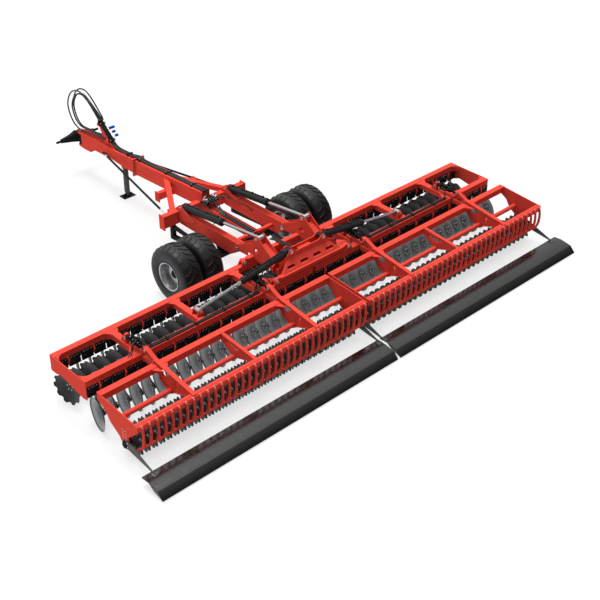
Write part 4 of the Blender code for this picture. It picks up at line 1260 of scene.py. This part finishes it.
def makeValves():
    # two valve stacks with levers behind the drawbar's end, and a hose tray from there to the hinge
    y, z = valves["y"], valves["z"]
    shape = Shape()
    for x in (-0.10, 0.13):
        shape.box((x - 0.028, x + 0.028), (y - 0.05, y + 0.05), (z - 0.02, z + 0.06), 0.004)
        shape.rod((x, y - 0.075, z + 0.02), (x, y + 0.075, z + 0.02), 0.015, 12)
        shape.rod((x - 0.055, y + 0.02, z + 0.03), (x + 0.055, y + 0.02, z + 0.03), 0.014, 12)
        shape.rod((x, y, z + 0.05), (x, y, z + 0.10), 0.012, 12)
        shape.bar((x - 0.06, y - 0.02, z + 0.115), (x + 0.05, y + 0.03, z + 0.105), 0.018, 0.007)
        shape.bolt((x, y, z + 0.10), (0, 0, 1), 0.012)
    publish("valves", shape, "zinc", "chassis")

    shape = Shape()
    shape.box((-0.16, 0.19), (y - 0.07, y + 0.10), (z - 0.045, z - 0.02), 0.003)
    shape.box((-0.03, 0.06), (y - 0.05, y + 0.05), (z - 0.02, z + 0.045), 0.004)
    publish("valve_plate", shape, "black", "chassis")

    shape = Shape()
    # folded tray between the main beams
    section = [(-0.10, 0.82), (-0.10, 0.935), (-0.09, 0.935), (-0.09, 0.908), (0.09, 0.908), (0.09, 0.935)]
    section += [(0.10, 0.935), (0.10, 0.82)]
    shape.plate(section, "Y", 1.98, 3.438, 0.002)
    shape.box((-0.50, 0.50), (1.98, 2.05), (0.84, 0.899), 0.004)
    publish("hose_tray", shape, "red", "chassis")

    shape = Shape()
    for i, x in enumerate((-0.045, -0.015, 0.015, 0.045)):
        bend = 0.02 * math.sin(i * 1.9)
        route = [
            (x * 1.5, y + 0.08, z + 0.05), (x * 1.8, y - 0.09, z + 0.03),
            (x * 1.4 + bend, y - 0.25, z - 0.08),
        ]
        route += [(x, 2.85, 0.930), (x, 2.4, 0.925), (x, 2.0, 0.925)]
        shape.hose(smoothPath(route, 0.05), 0.0125, 8)
    # feeds to the lift cylinders' lines, which pass through the inner face of each main beam
    for side in (-1, 1):
        for start, port in ((0.10, 2.60), (0.16, 3.20)):
            route = [(side * 0.12, y - 0.05, z + 0.03), (side * 0.22, y - start, z + 0.04)]
            route += [(side * 0.38, port + 0.10, z), (side * 0.50, port, 0.92)]
            shape.hose(smoothPath(route, 0.05), 0.010, 8)
    publish("valve_hoses", shape, "hose", "chassis")

    shape = Shape()
    for x in (-0.03, 0.0, 0.03):
        route = [
            (x, 1.50, 0.985), (x, 1.30, 1.035), (x * 1.2, 1.12, 1.045), (x * 1.6, 0.90, 1.05),
            (x * 2, 0.72, 1.16),
        ]
        route += [(x * 2.4, 0.66, 1.24)]
        shape.hose(smoothPath(route, 0.05), 0.012, 8)
    for side in (-1, 1):
        for drop in (0.0, 0.03):
            route = [(side * (0.05 + drop), 0.67, 1.26 - drop), (side * 0.20, 0.69, 1.235 - drop)]
            route += [
                (side * 0.34, 0.70, 1.20 - drop), (side * 0.50, 0.685, 1.20 - drop),
                (side * 0.60, 0.66, 1.23 - drop),
            ]
            shape.hose(smoothPath(route, 0.05), 0.010, 8)
    publish("centre_hoses", shape, "hose", "lift_frame")

    shape = Shape()
    shape.box((-0.10, 0.10), (0.665, 0.73), (1.215, 1.275), 0.005)
    publish("centre_manifold", shape, "black", "lift_frame")


def makeCouplers():
    # parked couplers with dust caps on the right of the mast
    caps, stubs = Shape(), Shape()
    for i, (y, z, out) in enumerate((
        (6.80, 1.345, 0.10), (6.80, 1.345, 0.165), (6.725, 1.280, 0.125), (6.65, 1.215, 0.14),
    )):
        end = Vector((out, y - 0.02, z + 0.012))
        if i != 1:
            stubs.rod((0.030, y, z), end, 0.013, 12)
            stubs.rod((0.045, y, z + 0.003), (0.068, y - 0.006, z + 0.006), 0.020, 6)
        caps.rod(end - Vector((0.004, 0, 0)), end + Vector((0.068, -0.008, 0.008)), 0.030, 16, 0.006)
    publish("coupler_caps", caps, "blue", "chassis")
    publish("coupler_stubs", stubs, "zinc", "chassis")
    shape = Shape()
    for y, z in ((6.80, 1.345), (6.725, 1.280), (6.65, 1.215)):
        shape.box((0.036, 0.052), (y - 0.024, y + 0.024), (z - 0.024, z + 0.024), 0.003)
    publish("coupler_holders", shape, "red", "chassis")


# how far the drawn barrels stand out over the CAD ones
sleeve = 0.008


def makeCylinderTrim(side):
    # glands, ports and hard lines on the four large cylinders
    name = sideName(side)
    kinds = (
        ("lift", "barrelEye", "towerEye", 0.065, 1.2, Vector((1, 0, 0))),
        ("fold", "foldBarrel", "foldRod", 0.055, 1.12, Vector((0, 1, 0))),
    )
    for kind, near, far, radius, length, cross in kinds:
        start, end = Vector(pins[near]), Vector(pins[far])
        along = (end - start).normalized()
        up = cross.cross(along).normalized()
        up = up if up.z > 0 else -up
        body = f"{kind}_barrel_{name}"
        radius += sleeve
        shape = Shape()
        profile = [(0.085, 0.02), (0.085, radius - 0.01), (0.095, radius), (length - 0.01, radius)]
        profile += [(length - 0.002, radius - 0.008), (length - 0.002, 0.04)]
        shape.turned(profile, start, along, 32)
        for low, high in ((length - 0.085, length - 0.012), (0.100, 0.130)):
            profile = [
                (low, radius - 0.002), (low, radius + 0.005), (high, radius + 0.005),
                (high, radius - 0.002),
            ]
            shape.turned(profile, start, along, 32)
        shape.turned(
            [(length, 0.033), (length, 0.052), (length + 0.016, 0.048), (length + 0.016, 0.033)], start,
            along, 24,
        )
        line = up * (radius + 0.014)
        for spot in (0.16, length - 0.13):
            base = start + along * spot + up * (radius - 0.004)
            shape.bar(base, base + up * 0.034, 0.034, 0.034, along, 0.003)
        shape.rod(start + along * 0.16 + line, start + along * (length - 0.13) + line, 0.009, 10)
        for spot in (0.45, 0.75):
            middle = start + along * spot
            shape.bar(middle + line - cross * 0.024, middle + line + cross * 0.024, 0.03, 0.022, up, 0.002)
        publish(f"{kind}_trim_{name}", shape, "cylinder", body, side)


def makeDepthCylinders(side):
    # short cylinder over each depth arm with its valve block, hoses and stop rings
    name = sideName(side)
    for place, x in zip(("inner", "outer"), lines["depthArms"]):
        shape = Shape()
        z = 1.03
        profile = [(0, 0), (0, 0.036), (0.02, 0.044), (0.30, 0.044), (0.31, 0.036), (0.33, 0.036), (0.33, 0)]
        shape.turned(profile, (x, 0.355, z), (0, 1, 0), 24)
        shape.rod((x, 0.2503, z), (x, 0.36, z), 0.022, 16)
        shape.bar((x, 0.2503, z), (x, 0.30, z), 0.052, 0.06, soft=0.006)
        shape.bar((x, 0.675, z), (x, 0.7197, z), 0.062, 0.064, soft=0.006)
        for out in (-1, 1):
            shape.rod((x + out * 0.035, 0.30, z + 0.038), (x + out * 0.035, 0.68, z + 0.038), 0.009, 8)
            shape.bar(
                (x + out * 0.052, 0.46, z + 0.01), (x + out * 0.052, 0.58, z + 0.01), 0.026, 0.05,
                soft=0.004,
            )
        for k in range(4):
            y = 0.40 + 0.065 * k
            shape.box(
                (x - 0.048, x + 0.048), (y - 0.020, y + 0.020),
                (z + 0.040, z + 0.062 + 0.014 * (k % 2)), 0.004,
            )
        shape.rod((x + 0.02, 0.47, z + 0.06), (x + 0.02, 0.47, z + 0.115), 0.011, 10)
        shape.rod((x - 0.02, 0.60, z + 0.06), (x - 0.02, 0.60, z + 0.105), 0.011, 10)
        node = f"depth_cylinder_{name}_{place}"
        publish(f"depth_body_{name}_{place}", shape, "black", f"wing_{name}", side, (node,))

        shape = Shape()
        for k, (dx, dz) in enumerate(((0.075, 0.0), (0.060, 0.05), (-0.07, 0.02))):
            route = [
                (x + 0.02 * (1 - k), 0.47 + 0.05 * k, z + 0.08),
                (x + dx, 0.42 - 0.03 * k, z + 0.09 + dz * 0.5),
            ]
            route += [
                (x + dx * 1.9, 0.40, z + 0.02 + dz), (x + dx * 2.6, 0.38, z - 0.05),
                (x + dx * 3.4, 0.37, 0.928),
            ]
            shape.hose(smoothPath(route, 0.035), 0.009, 8)
        publish(f"depth_hoses_{name}_{place}", shape, "hose", f"wing_{name}", side)

        shape = Shape()
        for out in (-1, 1):
            shape.bolt((x + out * 0.066, 0.49, z + 0.01), (out, 0, 0), 0.010)
            shape.bolt((x + out * 0.066, 0.55, z + 0.01), (out, 0, 0), 0.010)
        for k in range(4):
            shape.bolt((x + 0.03, 0.40 + 0.065 * k, z + 0.062 + 0.014 * (k % 2)), (0, 0, 1), 0.008)
        publish(f"depth_bolts_{name}_{place}", shape, "zinc", f"wing_{name}", side)


def makeWingHoses(side):
    # feed lines along the rear tube of the front module, with their clamps
    name = sideName(side)
    hoses, clamps = Shape(), Shape()
    for k in range(3):
        y = 0.345 + 0.024 * k
        wave = 0.006 * math.sin(k * 2.1)
        route = [(1.30, y, 0.926), (1.7, y + wave, 0.924), (2.2, y - wave, 0.924), (2.8, y + wave, 0.924)]
        route += [(3.3, y - wave, 0.924), (3.72, y, 0.928)]
        hoses.hose(smoothPath(route, 0.08), 0.011, 8)
    # loop up to the fold cylinder's hose run
    for k in range(2):
        route = [
            (1.36, 0.36 + 0.02 * k, 0.93), (1.24, 0.42, 0.99), (1.12, 0.50, 1.10),
            (1.02, 0.56, 1.16 + 0.02 * k),
        ]
        hoses.hose(smoothPath(route, 0.04), 0.010, 8)
    for x in (1.5, 2.1, 2.72, 3.34):
        clamps.box((x - 0.022, x + 0.022), (0.325, 0.413), (0.909, 0.944), 0.004)
    publish(f"wing_hoses_{name}", hoses, "hose", f"wing_{name}", side)
    publish(f"wing_hose_clamps_{name}", clamps, "black", f"wing_{name}", side)


makeFlangeBolts()
makeBundle()
makeValves()
makeCouplers()
for side in (-1, 1):
    makePins(side)
    makeDoublers(side)
    makeCylinderTrim(side)
    makeDepthCylinders(side)
    makeWingHoses(side)
print("pins and hydraulics")


def makeHead():
    # tapered cross shaft of the hitch on its swivel block
    shape = Shape()
    y, z = 7.93, 0.80
    profile = [(0.707, 0.031), (0.707, 0.072), (0.712, 0.078), (0.948, 0.078), (0.953, 0.072), (0.953, 0.031)]
    shape.turned([(a - 0.706, r) for a, r in profile], (0, 7.72, 0.706), (0, 0, 1), 28)
    shape.box((-0.07, 0.07), (7.77, y + 0.03), (0.725, 0.935), 0.012)
    for side in (-1, 1):
        rows = []
        for x, deep, low, high in (
            (0.04, 0.075, 0.715, 0.945), (0.20, 0.050, 0.735, 0.880), (0.42, 0.032, 0.765, 0.835),
        ):
            mid = y - deep + 0.036
            corners = ((1, low), (1, high), (-1, high), (-1, low))
            rows.append([Vector((side * x, mid + deep * u, v)) for u, v in corners])
        shape.skin(rows)
        shape.turned([(0, 0), (0, 0.046), (0.012, 0.046), (0.012, 0)], (side * 0.415, y, z), (side, 0, 0), 20)
        shape.rod((side * 0.42, y, z), (side * 0.549, y, z), 0.026, 20, 0.006)
    publish("hitch_cross", shape, "black", "hitch_bar", replaces=("hitch_bar",))


def makeStand():
    y = 6.15
    shape = Shape()
    shape.box((-0.043, 0.043), (y - 0.048, y + 0.048), (0.10, 0.655), 0.008)
    shape.box((-0.036, 0.036), (y - 0.038, y + 0.038), (0.019, 0.70), 0.006)
    shape.turned([(0, 0.025), (0, 0.046), (0.086, 0.046), (0.086, 0.025)], (-0.043, y, 0.70), (1, 0, 0), 24)
    publish("stand_leg", shape, "leg", "parking_stand", replaces=("parking_stand",))
    shape = Shape()
    shape.plate(
        [(-0.15, y - 0.10), (0.15, y - 0.10), (0.15, y + 0.10), (-0.15, y + 0.10)], "Z", 0.0005, 0.018,
        0.003,
    )
    for out in (-1, 1):
        fin = [(out * 0.036, 0.018), (out * 0.130, 0.018), (out * 0.036, 0.090)]
        shape.plate(fin, "Y", y - 0.005, y + 0.005, 0.001)
    publish("stand_foot", shape, "black", "parking_stand")


def makeWebs():
    # plates that carry the lift cylinders' brackets down onto the main beams, and the mast's web
    shape = Shape()
    for side in (-1, 1):
        for out in (-1, 1):
            face = side * lines["beamX"] + out * 0.0785
            outline = [
                (3.437, 0.80), (3.437, 1.125), (3.40, 1.152), (3.355, 1.13), (2.96, 0.985),
                (2.96, 0.93),
            ]
            shape.plate(outline, "X", face, face + out * 0.013, 0.002)
            outline = [(3.562, 0.77), (3.562, 1.005), (3.60, 0.98), (3.60, 0.80)]
            shape.plate(outline, "X", face - out * 0.02, face - out * 0.007, 0.002)
        ramp = [(3.30, 1.012), (3.30, 1.028), (2.98, 1.024), (2.98, 1.012)]
        shape.plate(ramp, "X", side * lines["beamX"] - 0.06, side * lines["beamX"] + 0.06, 0.002)
    shape.plate(
        [(6.42, 1.046), (6.46, 1.10), (6.89, 1.42), (6.97, 1.40), (6.82, 1.14), (6.78, 1.046)], "X",
        -0.034, 0.034, 0.004,
    )
    publish("beam_webs", shape, "red", "chassis")


makeHead()
makeStand()
makeWebs()
print("hitch and stand")


stage = {
    "reach": 600,
    "glow": 0.68,
    "shade": 0.24,
    "skyTilt": (("X", -0.05), ("Y", 0.90), ("Z", 1.00)),
    "skyBase": 0.12,
    "skyLeast": 0.05,
    "sun": 2.5,
    "sunAngle": 25,
    "sunTurn": (-12, 2, 0),
}


def makeStage():
    mesh = bpy.data.meshes.new("floor")
    reach = stage["reach"]
    mesh.from_pydata(
        [(-reach, -reach, 0), (reach, -reach, 0), (reach, reach, 0), (-reach, reach, 0)], [],
        [(0, 1, 2, 3)],
    )
    made = Finish("studioFloor", (0.9, 0.9, 0.9))
    made.join((1.0, 1.0, 1.0), made.shader.inputs["Emission Color"])
    made.shader.inputs["Emission Strength"].default_value = stage["glow"]
    mesh.materials.append(made.surface(color=(stage["shade"],) * 3, rough=0.9, specular=0.0))
    floor = bpy.data.objects.new("floor", mesh)
    floor.location.z = -lines["floorGap"]
    bpy.context.scene.collection.objects.link(floor)
    world = bpy.data.worlds.new("studio")
    world.use_nodes = True
    tree = world.node_tree
    tree.nodes["Background"].inputs["Color"].default_value = (1, 1, 1, 1)
    # a soft box overhead, brighter ahead of the machine than behind it
    spot = tree.nodes.new("ShaderNodeTexCoord")
    parts = tree.nodes.new("ShaderNodeSeparateXYZ")
    tree.links.new(spot.outputs["Generated"], parts.inputs[0])
    level = None
    for axis, share in stage["skyTilt"]:
        step = tree.nodes.new("ShaderNodeMath")
        step.operation = "MULTIPLY_ADD"
        tree.links.new(parts.outputs[axis], step.inputs[0])
        step.inputs[1].default_value = share
        step.inputs[2].default_value = stage["skyBase"]
        if level:
            tree.links.new(level, step.inputs[2])
        level = step.outputs[0]
    least = tree.nodes.new("ShaderNodeMath")
    least.operation = "MAXIMUM"
    tree.links.new(level, least.inputs[0])
    least.inputs[1].default_value = stage["skyLeast"]
    tree.links.new(least.outputs[0], tree.nodes["Background"].inputs["Strength"])
    bpy.context.scene.world = world
    light = bpy.data.lights.new("key", "SUN")
    light.energy = stage["sun"]
    light.angle = math.radians(stage["sunAngle"])
    item = bpy.data.objects.new("key", light)
    item.rotation_euler = [math.radians(a) for a in stage["sunTurn"]]
    bpy.context.scene.collection.objects.link(item)


makeStage()
